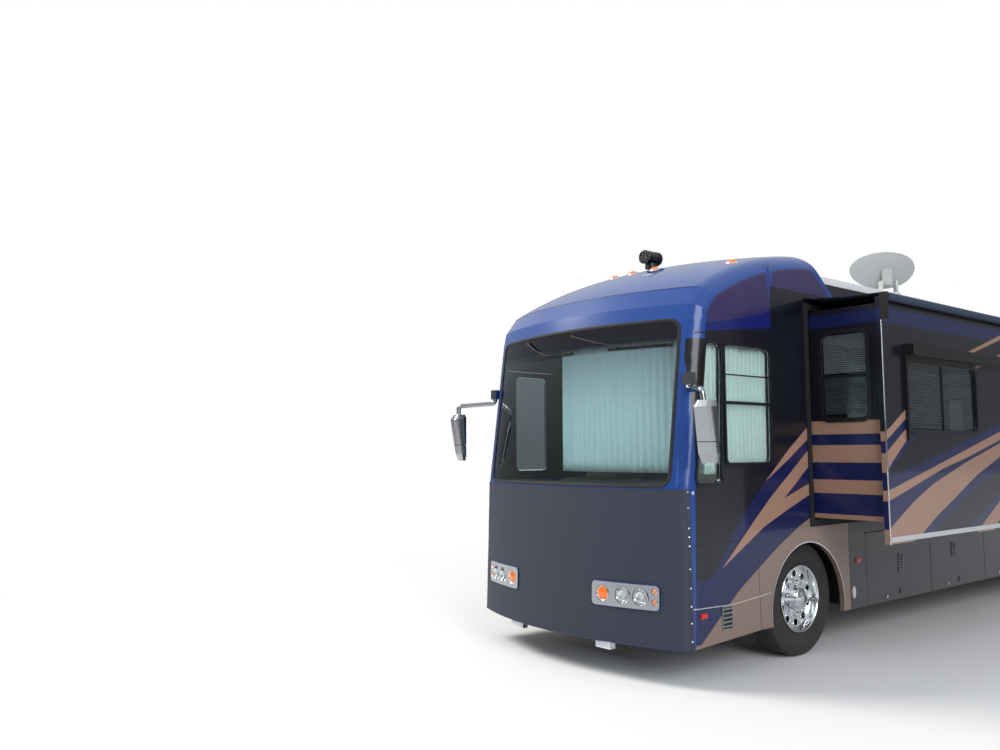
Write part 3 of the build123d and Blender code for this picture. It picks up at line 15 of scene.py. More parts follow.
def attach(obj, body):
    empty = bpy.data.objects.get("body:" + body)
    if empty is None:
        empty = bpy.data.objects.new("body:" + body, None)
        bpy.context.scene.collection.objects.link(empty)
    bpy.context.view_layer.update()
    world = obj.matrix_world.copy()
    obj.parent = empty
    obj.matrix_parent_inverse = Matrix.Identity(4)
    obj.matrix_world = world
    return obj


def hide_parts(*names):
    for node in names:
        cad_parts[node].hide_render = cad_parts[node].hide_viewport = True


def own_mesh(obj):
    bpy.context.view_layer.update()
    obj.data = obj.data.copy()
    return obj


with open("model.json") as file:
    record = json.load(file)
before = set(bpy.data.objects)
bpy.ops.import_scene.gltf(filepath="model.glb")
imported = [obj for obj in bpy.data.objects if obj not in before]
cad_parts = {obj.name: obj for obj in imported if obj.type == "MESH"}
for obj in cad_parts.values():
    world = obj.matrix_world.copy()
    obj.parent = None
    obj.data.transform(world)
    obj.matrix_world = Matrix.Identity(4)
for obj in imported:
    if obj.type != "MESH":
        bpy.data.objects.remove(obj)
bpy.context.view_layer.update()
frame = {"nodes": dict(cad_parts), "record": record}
nodes = frame["nodes"]

# %% [markdown]
# A few sizes of the coach are used again and again, so they get names. Most heights and
# stations below are given from the front axle, as a body builder's drawing does. They repeat
# the CAD's own values, because a piece that is worked out from the same numbers fits at once,
# while one that is moved by eye has to be fitted again after each change.

# %% Sizes of the coach
axle_y = -4.135
rear_axle_y = axle_y + 7.0
half_width = 1.295
nose_y = -6.095
tail_y = 6.095
bow_y = nose_y + 3.1
slide_face = 2.02
tyre_r = 0.51

# Radius from the bow axis and height, from the nose's foot up to its brow.
nose_profile = ((3.1, 0.0), (3.1, 0.286), (3.065, 1.55), (2.89, 2.947), (2.862, 3.08), (2.74, 3.245))
dome_peak_r, dome_peak_z, dome_r = 1.135, 3.735, 3.0


def skin_radius(z):
    """How far the nose's skin lies from its bow axis at a height."""
    for (r0, z0), (r1, z1) in zip(nose_profile, nose_profile[1:]):
        if z <= z1:
            return r0 + (r1 - r0) * (z - z0) / (z1 - z0)
    return nose_profile[-1][0]


def dome_height(radius):
    """Height of the nose's dome at a distance from the bow axis."""
    brow_r, brow_z = nose_profile[-1]
    run, rise = brow_r - dome_peak_r, dome_peak_z - brow_z
    chord = math.hypot(run, rise)
    drop = math.sqrt(dome_r ** 2 - chord ** 2 / 4)
    centre_r = (brow_r + dome_peak_r) / 2 - drop * rise / chord
    centre_z = (brow_z + dome_peak_z) / 2 - drop * run / chord
    if radius <= dome_peak_r:
        return dome_peak_z
    return centre_z + math.sqrt(dome_r ** 2 - (radius - centre_r) ** 2)


def on_nose(x, z, proud=0.0):
    """A point on the bowed nose at x and z, standing proud of the paint."""
    r = skin_radius(z) + proud
    return Vector((x, bow_y - math.sqrt(r * r - x * x), z))


print("nose at the middle:", [round(v, 3) for v in on_nose(0, 1.2)])

# %% [markdown]
# The camera looks from low down, off the front corner of the street side, through a normal
# lens. It could be placed by trial, but its place, turn and focal length were solved from the
# front wheel's ellipse and the body's long lines, so that every piece lands where it should.

# %% Camera
cam_data = bpy.data.cameras.new("camera")
cam_data.sensor_width = 36.0
cam_data.lens = 857.1 / 1000 * 36.0
cam = bpy.data.objects.new("camera", cam_data)
bpy.context.scene.collection.objects.link(cam)
turn, rise, lean = math.radians(51.196), math.radians(5.07), math.radians(-0.228)
aim = Vector((-math.sin(turn) * math.cos(rise), math.cos(turn) * math.cos(rise), math.sin(rise)))
cam.rotation_mode = "QUATERNION"
cam.rotation_quaternion = aim.to_track_quat("-Z", "Y") @ Matrix.Rotation(lean, 4, "Z").to_quaternion()
cam.location = (5.7174, -11.2491, 1.8582)
cam_data.clip_start, cam_data.clip_end = 0.1, 200
bpy.context.scene.camera = cam
print("camera:", round(cam_data.lens, 2), "mm lens at", [round(v, 2) for v in cam.location])

# %% [markdown]
# A studio for something this large is a pale floor, an even pale surround and two soft lamps.
# The surround is bright only to rays from the camera, off gloss and through glass; to matt
# surfaces it gives a plain level of light, so colours come out about as they are mixed. A
# backdrop sheet would be white too, but its edge would show in a view from another side.

# %% Studio
def paint(r, g, b):
    """A colour given in 0-255 screen values, as the linear colour a shader wants."""
    out = []
    for v in (r, g, b):
        v /= 255
        out.append(v / 12.92 if v <= 0.04045 else ((v + 0.055) / 1.055) ** 2.4)
    return (*out, 1.0)


scene = bpy.context.scene
scene.view_settings.view_transform = "Standard"
world = bpy.data.worlds.new("surround")
scene.world = world
world.use_nodes = True
wt = world.node_tree
wt.nodes.clear()
w_out = wt.nodes.new("ShaderNodeOutputWorld")
w_mix = wt.nodes.new("ShaderNodeMixShader")
w_light, w_seen = wt.nodes.new("ShaderNodeBackground"), wt.nodes.new("ShaderNodeBackground")
w_light.inputs[0].default_value = (0.93, 0.96, 1.0, 1)
w_light.inputs[1].default_value = 0.62
w_seen.inputs[1].default_value = 1.0
rays = wt.nodes.new("ShaderNodeLightPath")
w_way = wt.nodes.new("ShaderNodeTexCoord")
w_split = wt.nodes.new("ShaderNodeSeparateXYZ")
w_rise = wt.nodes.new("ShaderNodeMath")
w_rise.operation = "MULTIPLY_ADD"
w_rise.inputs[1].default_value, w_rise.inputs[2].default_value = 0.5, 0.5
w_ramp = wt.nodes.new("ShaderNodeValToRGB")
glow_stops = ((0.0, 0.20), (0.50, 0.16), (0.565, 0.20), (0.66, 0.62), (0.86, 0.95))
for place, grey in glow_stops:
    stop = w_ramp.color_ramp.elements[0] if place == 0.0 else w_ramp.color_ramp.elements.new(place)
    stop.color = (grey * 0.94, grey * 0.98, grey, 1)
w_ramp.color_ramp.elements[-1].color = (1, 1, 1, 1)
w_gloss = wt.nodes.new("ShaderNodeMix")
w_gloss.data_type = "RGBA"
w_gloss.inputs[6].default_value = (1, 1, 1, 1)
w_either, w_any = wt.nodes.new("ShaderNodeMath"), wt.nodes.new("ShaderNodeMath")
w_either.operation = w_any.operation = "MAXIMUM"
for out, into in ((w_way.outputs["Generated"], w_split.inputs[0]), (w_split.outputs["Z"], w_rise.inputs[0]),
                  (w_rise.outputs[0], w_ramp.inputs[0]), (w_ramp.outputs[0], w_gloss.inputs[7]),
                  (rays.outputs["Is Glossy Ray"], w_gloss.inputs["Factor"]),
                  (w_gloss.outputs[2], w_seen.inputs[0]),
                  (rays.outputs["Is Camera Ray"], w_either.inputs[0]),
                  (rays.outputs["Is Glossy Ray"], w_either.inputs[1]),
                  (w_either.outputs[0], w_any.inputs[0]),
                  (rays.outputs["Is Transmission Ray"], w_any.inputs[1]),
                  (w_any.outputs[0], w_mix.inputs[0]), (w_light.outputs[0], w_mix.inputs[1]),
                  (w_seen.outputs[0], w_mix.inputs[2]), (w_mix.outputs[0], w_out.inputs[0])):
    wt.links.new(out, into)


# %% Lamps and floor
def lamp(name, place, target, size, watts, colour):
    """A large soft area lamp that faces a point."""
    data = bpy.data.lights.new(name, "AREA")
    data.shape, data.size, data.energy, data.color = "DISK", size, watts, colour
    obj = bpy.data.objects.new(name, data)
    obj.location = place
    obj.rotation_mode = "QUATERNION"
    obj.rotation_quaternion = (Vector(target) - Vector(place)).to_track_quat("-Z", "Y")
    scene.collection.objects.link(obj)
    return obj


lamp("key_lamp", (-9, -12, 12), (0, -3, 1.5), 7.0, 2300, (1.0, 0.97, 0.92))
lamp("fill_lamp", (13, -9, 7), (1, -3, 1.2), 9.0, 1100, (0.92, 0.96, 1.0))

floor_mesh = bpy.data.meshes.new("floor")
floor_mesh.from_pydata([(-60, -60, 0), (60, -60, 0), (60, 60, 0), (-60, 60, 0)], [], [(0, 1, 2, 3)])
floor = bpy.data.objects.new("floor", floor_mesh)
scene.collection.objects.link(floor)
print("studio: one surround, two lamps, one floor")

# %% [markdown]
# Finishes are node materials. Two effects are wanted by many of them, so each is a node group
# with named sockets: fine grain for moulded plastic, rubber and cloth, and grime that gathers
# low on the body, as road spray leaves it. The nodes could be copied into each material, but
# a group is built once and each finish only sets its values.

# %% Helpers for node trees
def group(name, inputs, outputs):
    """A new shader group with its sockets; inputs map a name to its default value."""
    tree = bpy.data.node_groups.new(name, "ShaderNodeTree")
    for label, default in inputs.items():
        parts = len(default) if hasattr(default, "__len__") else 1
        kind = {3: "NodeSocketVector", 4: "NodeSocketColor"}.get(parts, "NodeSocketFloat")
        sock = tree.interface.new_socket(label, in_out="INPUT", socket_type=kind)
        if kind != "NodeSocketVector":
            sock.default_value = default
    for label, kind in outputs.items():
        tree.interface.new_socket(label, in_out="OUTPUT", socket_type=kind)
    start = tree.nodes.new("NodeGroupInput")
    end = tree.nodes.new("NodeGroupOutput")
    return tree, start, end


def feed(tree, socket, value):
    """Links a socket to another, or writes a plain value into it."""
    if hasattr(value, "is_output"):
        tree.links.new(value, socket)
    elif value is not None:
        socket.default_value = value


def maths(tree, operation, a, b=None, c=None, clamp=False):
    node = tree.nodes.new("ShaderNodeMath")
    node.operation, node.use_clamp = operation, clamp
    for socket, value in zip(node.inputs, (a, b, c)):
        feed(tree, socket, value)
    return node.outputs[0]


def blend_colour(tree, share, first, second):
    node = tree.nodes.new("ShaderNodeMix")
    node.data_type = "RGBA"
    feed(tree, node.inputs["Factor"], share)
    feed(tree, node.inputs[6], first)
    feed(tree, node.inputs[7], second)
    return node.outputs[2]


def noise(tree, vector, scale, detail=3.0, rough=0.5):
    node = tree.nodes.new("ShaderNodeTexNoise")
    node.inputs["Scale"].default_value = scale
    node.inputs["Detail"].default_value = detail
    node.inputs["Roughness"].default_value = rough
    feed(tree, node.inputs["Vector"], vector)
    return node.outputs["Fac"]


# %% Shared effects
grain, g_in, g_out = group("moulded_grain", {"Vector": (0, 0, 0), "Scale": 900.0},
                           {"Height": "NodeSocketFloat"})
g_noise = grain.nodes.new("ShaderNodeTexNoise")
g_noise.inputs["Detail"].default_value = 4
grain.links.new(g_in.outputs["Vector"], g_noise.inputs["Vector"])
grain.links.new(g_in.outputs["Scale"], g_noise.inputs["Scale"])
grain.links.new(g_noise.outputs["Fac"], g_out.inputs["Height"])

wash, s_in, s_out = group("road_grime", {"Vector": (0, 0, 0), "Top": 0.9, "Amount": 0.25},
                          {"Mask": "NodeSocketFloat"})
s_split = wash.nodes.new("ShaderNodeSeparateXYZ")
wash.links.new(s_in.outputs["Vector"], s_split.inputs[0])
fall = maths(wash, "SUBTRACT", s_in.outputs["Top"], s_split.outputs["Z"])
fall = maths(wash, "DIVIDE", fall, s_in.outputs["Top"], clamp=True)
speck = noise(wash, s_in.outputs["Vector"], 7.0, 6.0, 0.7)
dirty = maths(wash, "MULTIPLY", maths(wash, "MULTIPLY", fall, speck), s_in.outputs["Amount"], clamp=True)
wash.links.new(dirty, s_out.inputs["Mask"])
print("groups:", grain.name, "and", wash.name)


# %% A finish in one call
def use(tree, shared, **values):
    """Places a shared group in a material and sets its inputs."""
    node = tree.nodes.new("ShaderNodeGroup")
    node.node_tree = shared
    for label, value in values.items():
        feed(tree, node.inputs[label], value)
    return node


def finish_of(name, colour, rough=0.5, metal=0.0, coat=0.0, bump=0.0, scale=900.0, vary=0.06, grime=0.0,
              grime_top=0.9, **plain):
    """A Principled material whose colour and roughness drift a little, with a fine bump."""
    mat = bpy.data.materials.new(name)
    mat.use_nodes = True
    tree = mat.node_tree
    shader = tree.nodes["Principled BSDF"]
    place = tree.nodes.new("ShaderNodeTexCoord").outputs["Object"]
    drift = noise(tree, place, 3.1, 4.0, 0.6)
    base = colour
    if hasattr(colour, "__len__"):
        dark = tuple(c * (1 - vary) for c in colour[:3]) + (1,)
        light = tuple(min(1, c * (1 + vary)) for c in colour[:3]) + (1,)
        base = blend_colour(tree, drift, dark, light)
    if grime:
        dirt = use(tree, wash, Vector=place, Top=grime_top, Amount=grime)
        base = blend_colour(tree, dirt.outputs["Mask"], base, paint(96, 88, 78))
    feed(tree, shader.inputs["Base Color"], base)
    shader.inputs["Metallic"].default_value = metal
    shader.inputs["Coat Weight"].default_value = coat
    spread = maths(tree, "MULTIPLY_ADD", drift, 0.12 * rough + 0.01, rough * 0.94)
    tree.links.new(spread, shader.inputs["Roughness"])
    if bump:
        lumps = use(tree, grain, Vector=place, Scale=scale)
        raised = tree.nodes.new("ShaderNodeBump")
        raised.inputs["Strength"].default_value = bump
        raised.inputs["Distance"].default_value = 0.001
        tree.links.new(lumps.outputs["Height"], raised.inputs["Height"])
        tree.links.new(raised.outputs[0], shader.inputs["Normal"])
    for label, value in plain.items():
        shader.inputs[label.replace("_", " ")].default_value = value
    return mat


print("finish_of makes a plain finish")

# %% [markdown]
# The coach's graphics are long sweeps of blue and copper over a near-black navy. Each edge
# of a sweep is a curve of height along the coach, held in a Float Curve node, so the paint is
# sharp at any distance and needs no picture. Stations are metres behind the front axle.

# %% Colours of the coach
navy_black = paint(15, 16, 27)
sweep_blue = paint(15, 24, 70)
copper = paint(150, 116, 98)
low_tan = paint(126, 105, 94)
charcoal = paint(45, 44, 50)
cap_blue = paint(18, 62, 134)
glass_black = paint(9, 10, 14)
print("sweep blue as a shader wants it:", [round(v, 4) for v in sweep_blue[:3]])

# %% Tools for painted sweeps
span_low, span_high = -2.0, 10.4


def edge_curve(tree, along, points):
    """Height of an edge along the coach, through the given (station, height) points."""
    node = tree.nodes.new("ShaderNodeFloatCurve")
    curve = node.mapping.curves[0]
    rows = [((y - span_low) / (span_high - span_low), z / 4.0) for y, z in points]
    rows = [(0.0, rows[0][1])] * (rows[0][0] > 0.001) + rows + [(1.0, rows[-1][1])] * (rows[-1][0] < 0.999)
    while len(curve.points) < len(rows):
        curve.points.new(0.5, 0.5)
    for point, (u, v) in zip(curve.points, rows):
        point.location = (u, v)
        point.handle_type = "VECTOR"
    node.mapping.use_clip = False
    node.mapping.update()
    share = maths(tree, "DIVIDE", maths(tree, "SUBTRACT", along, span_low), span_high - span_low)
    tree.links.new(share, node.inputs["Value"])
    return maths(tree, "MULTIPLY", node.outputs[0], 4.0)


def inside(tree, value, low, high, soft=0.002):
    """1 where value lies between low and high, with an edge a couple of millimetres wide."""
    masks = []
    if low is not None:
        masks.append(maths(tree, "MULTIPLY_ADD", maths(tree, "SUBTRACT", value, low), 1 / soft, 0.5,
                           clamp=True))
    if high is not None:
        masks.append(maths(tree, "MULTIPLY_ADD", maths(tree, "SUBTRACT", high, value), 1 / soft, 0.5,
                           clamp=True))
    return masks[0] if len(masks) == 1 else maths(tree, "MULTIPLY", masks[0], masks[1])


def sweep_group(name, base, sweeps):
    """A group that paints sweeps: (colour, upper edge, lower edge, first station, last station)."""
    tree, start, end = group(name, {"Vector": (0, 0, 0)}, {"Color": "NodeSocketColor"})
    split = tree.nodes.new("ShaderNodeSeparateXYZ")
    tree.links.new(start.outputs["Vector"], split.inputs[0])
    along = maths(tree, "SUBTRACT", split.outputs["Y"], axle_y)
    colour = base
    for shade, upper, lower, first, last in sweeps:
        low = edge_curve(tree, along, lower) if lower else None
        high = edge_curve(tree, along, upper) if upper else None
        mask = inside(tree, split.outputs["Z"], low, high)
        mask = maths(tree, "MULTIPLY", mask, inside(tree, along, first, last))
        colour = blend_colour(tree, mask, colour, shade)
    tree.links.new(colour, end.inputs["Color"])
    return tree


print("a sweep is drawn from station", span_low, "to", span_high)

# %% The sweeps on the walls
wall_sweeps = [
    (sweep_blue, [(-1.70, 0.83), (-1.42, 0.818), (-1.32, 0.868), (-1.07, 1.156), (-0.95, 1.288),
                  (-0.585, 1.588), (-0.23, 1.86), (0.109, 2.10), (0.75, 2.50)], None, -2.0, 0.745),
    (copper, [(-0.585, 1.588), (-0.23, 1.853), (0.109, 2.076), (0.75, 2.45)],
     [(-0.585, 1.588), (-0.235, 1.768), (0.101, 1.959), (0.75, 2.28)], -0.585, 0.745),
    (copper, [(-1.225, 0.893), (-0.988, 1.081), (-0.772, 1.253), (-0.513, 1.449), (-0.244, 1.626),
              (0.094, 1.852), (0.75, 2.2)],
     [(-1.225, 0.893), (-0.901, 1.057), (-0.621, 1.199), (-0.261, 1.328), (0.068, 1.437), (0.75, 1.6)],
     -1.225, 0.745),
    (sweep_blue, [(-0.305, 1.432), (-0.078, 1.585), (0.084, 1.697), (0.75, 2.0)],
     [(-0.305, 1.432), (0.074, 1.543), (0.75, 1.78)], -0.305, 0.745),
    (low_tan, [(-1.52, 0.32), (-1.154, 0.589), (-1.007, 0.693), (-0.7, 0.865), (-0.376, 1.038),
               (-0.069, 1.177), (0.089, 1.235), (0.745, 1.26)], None, -1.6, 0.745),
    (charcoal, [(0.745, 1.05), (10.2, 1.05)], None, 0.745, 10.4),
]
rear_stations = (4.6, 7.0, 10.3)
rear_edges = ((2.62, 3.15, 3.62), (2.47, 2.95, 3.40), (2.37, 2.83, 3.27), (2.30, 2.72, 3.12),
              (2.16, 2.55, 2.9), (1.9, 2.2, 2.5), (1.78, 2.05, 2.3), (1.66, 1.9, 2.12))
rear_sweeps = [(shade, list(zip(rear_stations, rear_edges[k])), list(zip(rear_stations, rear_edges[k + 1])),
                0.745, 10.4)
               for k, shade in ((0, sweep_blue), (1, copper), (2, sweep_blue), (3, copper), (5, sweep_blue),
                                (6, copper))]
rear_sweeps.append((sweep_blue, [(-2, 3.12), (10.4, 3.12)], [(-2, 2.98), (10.4, 2.98)], 0.745, 10.4))
wall_paint = sweep_group("wall_sweeps", navy_black, wall_sweeps[:5] + rear_sweeps + wall_sweeps[5:])
print("walls:", len(wall_sweeps) + len(rear_sweeps), "bands of paint")

# %% The sweeps on the slide rooms
low_edge = [(0.1, 0.9), (0.719, 1.104), (1.05, 1.26), (1.382, 1.388), (1.9, 1.60), (2.482, 1.778),
            (3.6, 2.08), (4.9, 2.39)]
face_sweeps = [
    (sweep_blue, [(0.0, 3.11), (5.0, 3.10)], [(0.0, 2.972), (5.0, 2.985)], -1.0, 10.0),
    (sweep_blue, [(0.12, 2.01), (0.212, 2.05), (0.47, 2.194), (0.64, 2.29)],
     [(0.12, 1.58), (0.189, 1.677), (0.645, 1.971)], -0.1, 0.66),
    (copper, [(0.12, 2.01), (0.212, 2.05), (0.47, 2.194), (0.64, 2.29)],
     [(0.12, 1.925), (0.204, 1.968), (0.463, 2.11), (0.64, 2.21)], -0.1, 0.66),
    (copper, [(0.12, 1.82), (0.195, 1.867), (0.454, 2.016), (0.62, 2.09)],
     [(0.12, 1.65), (0.194, 1.722), (0.505, 1.942), (0.62, 2.03)], -0.1, 0.62),
    (sweep_blue, [(0.1, 1.60), (0.23, 1.631), (0.782, 1.733), (1.211, 1.827), (1.671, 1.927),
                  (2.528, 2.126), (3.6, 2.42), (4.9, 2.80)],
     [(0.1, 1.15), (0.718, 1.35), (1.38, 1.55), (2.48, 1.85), (4.9, 2.5)], -0.1, 10.0),
    (copper, [(0.1, 1.50), (0.22, 1.522), (0.983, 1.692), (1.662, 1.845), (2.517, 2.039), (3.6, 2.32),
              (4.9, 2.67)],
     [(0.1, 1.41), (0.212, 1.432), (1.196, 1.680), (1.7, 1.775), (2.505, 1.952), (3.6, 2.22), (4.9, 2.56)],
     -0.1, 10.0),
    (copper, [(0.1, 1.16), (0.211, 1.217), (0.6, 1.40), (0.967, 1.538), (1.647, 1.723), (2.501, 1.919),
              (3.6, 2.18), (4.9, 2.48)], low_edge, -0.1, 10.0),
    (sweep_blue, low_edge,
     [(0.6, 0.9), (0.919, 1.082), (1.607, 1.38), (2.464, 1.649), (3.6, 1.95), (4.9, 2.24)], 0.5, 10.0),
    (sweep_blue, [(1.5, 1.02), (1.715, 1.113), (2.433, 1.413), (3.6, 1.80), (4.9, 2.12)],
     [(1.75, 1.0), (1.951, 1.099), (2.422, 1.328), (3.6, 1.70), (4.9, 2.02)], 1.5, 10.0),
    (copper, [(1.75, 1.0), (1.951, 1.099), (2.422, 1.328), (3.6, 1.70), (4.9, 2.02)],
     [(2.1, 0.95), (2.6, 1.28), (3.6, 1.58), (4.9, 1.88)], 1.7, 10.0),
    (copper, [(1.5, 2.72), (1.847, 2.825), (2.652, 3.055), (3.0, 3.15)],
     [(1.5, 2.69), (1.847, 2.79), (2.652, 3.01), (3.1, 3.13)], 1.5, 3.1),
    (copper, [(2.0, 2.68), (2.65, 2.86), (3.6, 3.08), (4.0, 3.17)],
     [(2.0, 2.66), (2.65, 2.83), (3.6, 3.04), (4.0, 3.12)], 2.0, 4.0),
]
face_paint = sweep_group("slide_face_sweeps", navy_black, face_sweeps)

end_bands = [(copper, 1.998, 2.12), (sweep_blue, 1.90, 1.998), (copper, 1.743, 1.90),
             (sweep_blue, 1.587, 1.743), (copper, 1.463, 1.587), (sweep_blue, 1.277, 1.463),
             (copper, 1.215, 1.277), (sweep_blue, 2.985, 3.10)]


# %% Clear-coated paint
def coach_paint(name, sweeps, end_walls=False, grime=0.35):
    """Clear-coated paint that takes its colour from a sweep group, with level bands on the end walls."""
    mat = bpy.data.materials.new(name)
    mat.use_nodes = True
    tree = mat.node_tree
    shader = tree.nodes["Principled BSDF"]
    place = tree.nodes.new("ShaderNodeTexCoord").outputs["Object"]
    colour = use(tree, sweeps, Vector=place).outputs["Color"]
    if end_walls:
        split = tree.nodes.new("ShaderNodeSeparateXYZ")
        tree.links.new(place, split.inputs[0])
        bands = navy_black
        for shade, low, high in end_bands:
            bands = blend_colour(tree, inside(tree, split.outputs["Z"], low, high), bands, shade)
        reach = maths(tree, "ABSOLUTE", split.outputs["X"])
        on_face = inside(tree, reach, slide_face - 0.045, None)
        colour = blend_colour(tree, on_face, bands, colour)
    dirt = use(tree, wash, Vector=place, Top=0.8, Amount=grime)
    colour = blend_colour(tree, dirt.outputs["Mask"], colour, paint(92, 86, 80))
    tree.links.new(colour, shader.inputs["Base Color"])
    shader.inputs["Roughness"].default_value = 0.28
    shader.inputs["Specular IOR Level"].default_value = 0.35
    shader.inputs["Coat Weight"].default_value = 0.6
    shader.inputs["Coat Roughness"].default_value = 0.05
    shader.inputs["Coat IOR"].default_value = 1.4
    return mat


wall_finish = coach_paint("wall_gloss", wall_paint)
slide_finish = coach_paint("slide_gloss", face_paint, end_walls=True, grime=0.15)
print("slide rooms:", len(face_sweeps) + len(end_bands), "bands of paint")

# %% [markdown]
# The front cap is a bright blue moulding. On its sides an arched border follows the dome, and
# inside it lies a darker violet field. A deep blue stripe crosses at the height of the door
# windows, and everything below that stripe is the walls' near-black with its sweeps. The
# moulding is one solid with no edge where the colours meet, so they are masked by height,
# station and distance from the middle, and the mesh stays as the CAD made it.

# %% Paint of the front cap
cap_tree, cap_in, cap_out = group("cap_livery", {"Vector": (0, 0, 0)}, {"Color": "NodeSocketColor"})
c_split = cap_tree.nodes.new("ShaderNodeSeparateXYZ")
cap_tree.links.new(cap_in.outputs["Vector"], c_split.inputs[0])
c_along = maths(cap_tree, "SUBTRACT", c_split.outputs["Y"], axle_y)
c_reach = maths(cap_tree, "ABSOLUTE", c_split.outputs["X"])
cap_side = inside(cap_tree, c_reach, half_width - 0.0012, None, soft=0.001)
violet = blend_colour(cap_tree, noise(cap_tree, cap_in.outputs["Vector"], 5.0, 5.0, 0.65),
                      paint(24, 26, 74), paint(58, 45, 86))
arch_edge = edge_curve(cap_tree, c_along, [(-1.43, 2.90), (-1.415, 3.20), (-1.22, 3.325), (-1.059, 3.405),
                                           (-0.78, 3.52), (-0.481, 3.592), (-0.47, 3.2), (-0.42, 3.2),
                                           (-0.40, 3.44), (-0.33, 3.56), (-0.136, 3.60), (0.1, 3.615),
                                           (0.22, 3.60), (0.38, 3.47), (0.556, 3.341), (0.60, 3.2)])
stripe_top = edge_curve(cap_tree, c_along, [(-1.70, 2.86), (-1.404, 2.911), (-0.939, 2.986),
                                            (-0.449, 3.098), (0.6, 3.3)])
stripe_low = edge_curve(cap_tree, c_along, [(-1.70, 2.80), (-1.407, 2.84), (-0.943, 2.895), (-0.458, 2.943),
                                            (0.6, 3.0)])
field = inside(cap_tree, c_split.outputs["Z"], stripe_top, arch_edge)
field = maths(cap_tree, "MULTIPLY", field, inside(cap_tree, c_along, -1.42, 0.60))
sides_low = inside(cap_tree, c_split.outputs["Z"], None, stripe_low)
side_paint = cap_tree.nodes.new("ShaderNodeGroup")
side_paint.node_tree = wall_paint
cap_tree.links.new(cap_in.outputs["Vector"], side_paint.inputs["Vector"])
side_colour = blend_colour(cap_tree, field, cap_blue, violet)
stripe = inside(cap_tree, c_split.outputs["Z"], stripe_low, stripe_top)
side_colour = blend_colour(cap_tree, stripe, side_colour, paint(14, 24, 92))
side_colour = blend_colour(cap_tree, sides_low, side_colour, side_paint.outputs["Color"])
cap_colour = blend_colour(cap_tree, cap_side, cap_blue, side_colour)
reveal = maths(cap_tree, "MULTIPLY", inside(cap_tree, c_reach, 1.20, half_width - 0.0016),
               inside(cap_tree, c_split.outputs["Z"], 1.56, 2.78))
reveal = maths(cap_tree, "MULTIPLY", reveal, inside(cap_tree, c_along, -1.536, None))
cap_colour = blend_colour(cap_tree, reveal, cap_colour, glass_black)
cap_tree.links.new(cap_colour, cap_out.inputs["Color"])
cap_finish = coach_paint("cap_gloss", cap_tree, grime=0.1)
print("cap livery:", len(cap_tree.nodes), "nodes")

# %% [markdown]
# The rest of the coach wears plain finishes: steel, vinyl, chrome, leather and so on. A flat
# colour would make each look like a toy's, so every one drifts a little in colour and gloss,
# and those that are moulded, cast or woven have a fine bump at the scale of the real one.

# %% Plain finishes
finishes = {
    "steel": finish_of("frame_steel", paint(30, 30, 33), 0.55, 0.3, bump=0.3, grime=0.5),
    "cast": finish_of("cast_iron", paint(52, 50, 48), 0.7, 0.6, bump=0.5, scale=300, grime=0.6),
    "floor_wood": finish_of("floor_boards", paint(120, 88, 60), 0.4, bump=0.1, scale=120),
    "roof_white": finish_of("roof_sheet", paint(205, 207, 208), 0.5, bump=0.1, scale=200),
    "black_trim": finish_of("black_trim", paint(14, 14, 17), 0.35, bump=0.12),
    "rubber": finish_of("seal_rubber", paint(16, 16, 17), 0.7, bump=0.2),
    "polished": finish_of("polished_alloy", paint(225, 228, 232), 0.12, 1.0, vary=0.03),
    "chrome": finish_of("chrome", paint(232, 233, 236), 0.04, 1.0, vary=0.01),
    "shell_chrome": finish_of("shell_chrome", paint(158, 161, 166), 0.14, 1.0, vary=0.03),
    "dash_plastic": finish_of("dash_skin", paint(36, 36, 39), 0.6, bump=0.4),
    "gear_white": finish_of("roof_gear_plastic", paint(196, 197, 196), 0.45, bump=0.15),
    "dish_grey": finish_of("dish_paint", paint(178, 180, 180), 0.45, bump=0.1),
    "seat_leather": finish_of("seat_leather", paint(140, 124, 104), 0.5, bump=0.35, scale=260),
    "curtain": finish_of("curtain_cloth", paint(240, 247, 246), 0.9, bump=0.2),
    "topper_cloth": finish_of("topper_cloth", paint(40, 52, 74), 0.85, bump=0.3, scale=700),
    "vinyl": finish_of("mask_vinyl", paint(38, 44, 60), 0.62, bump=0.35, scale=450),
    "amber": finish_of("amber_lens", paint(235, 108, 20), 0.12, coat=0.8),
    "red": finish_of("red_lens", paint(190, 22, 18), 0.12, coat=0.8),
    "clear": finish_of("clear_lens", paint(205, 210, 214), 0.08, coat=0.8),
}
print("plain finishes:", len(finishes))

# %% [markdown]
# A tyre has moulded rings on its side walls, blocks at its shoulders and grooves round its
# tread. They could be cut into the mesh, but they are only millimetres deep, so they are bump,
# worked out from the distance and the angle about the wheel's centre.

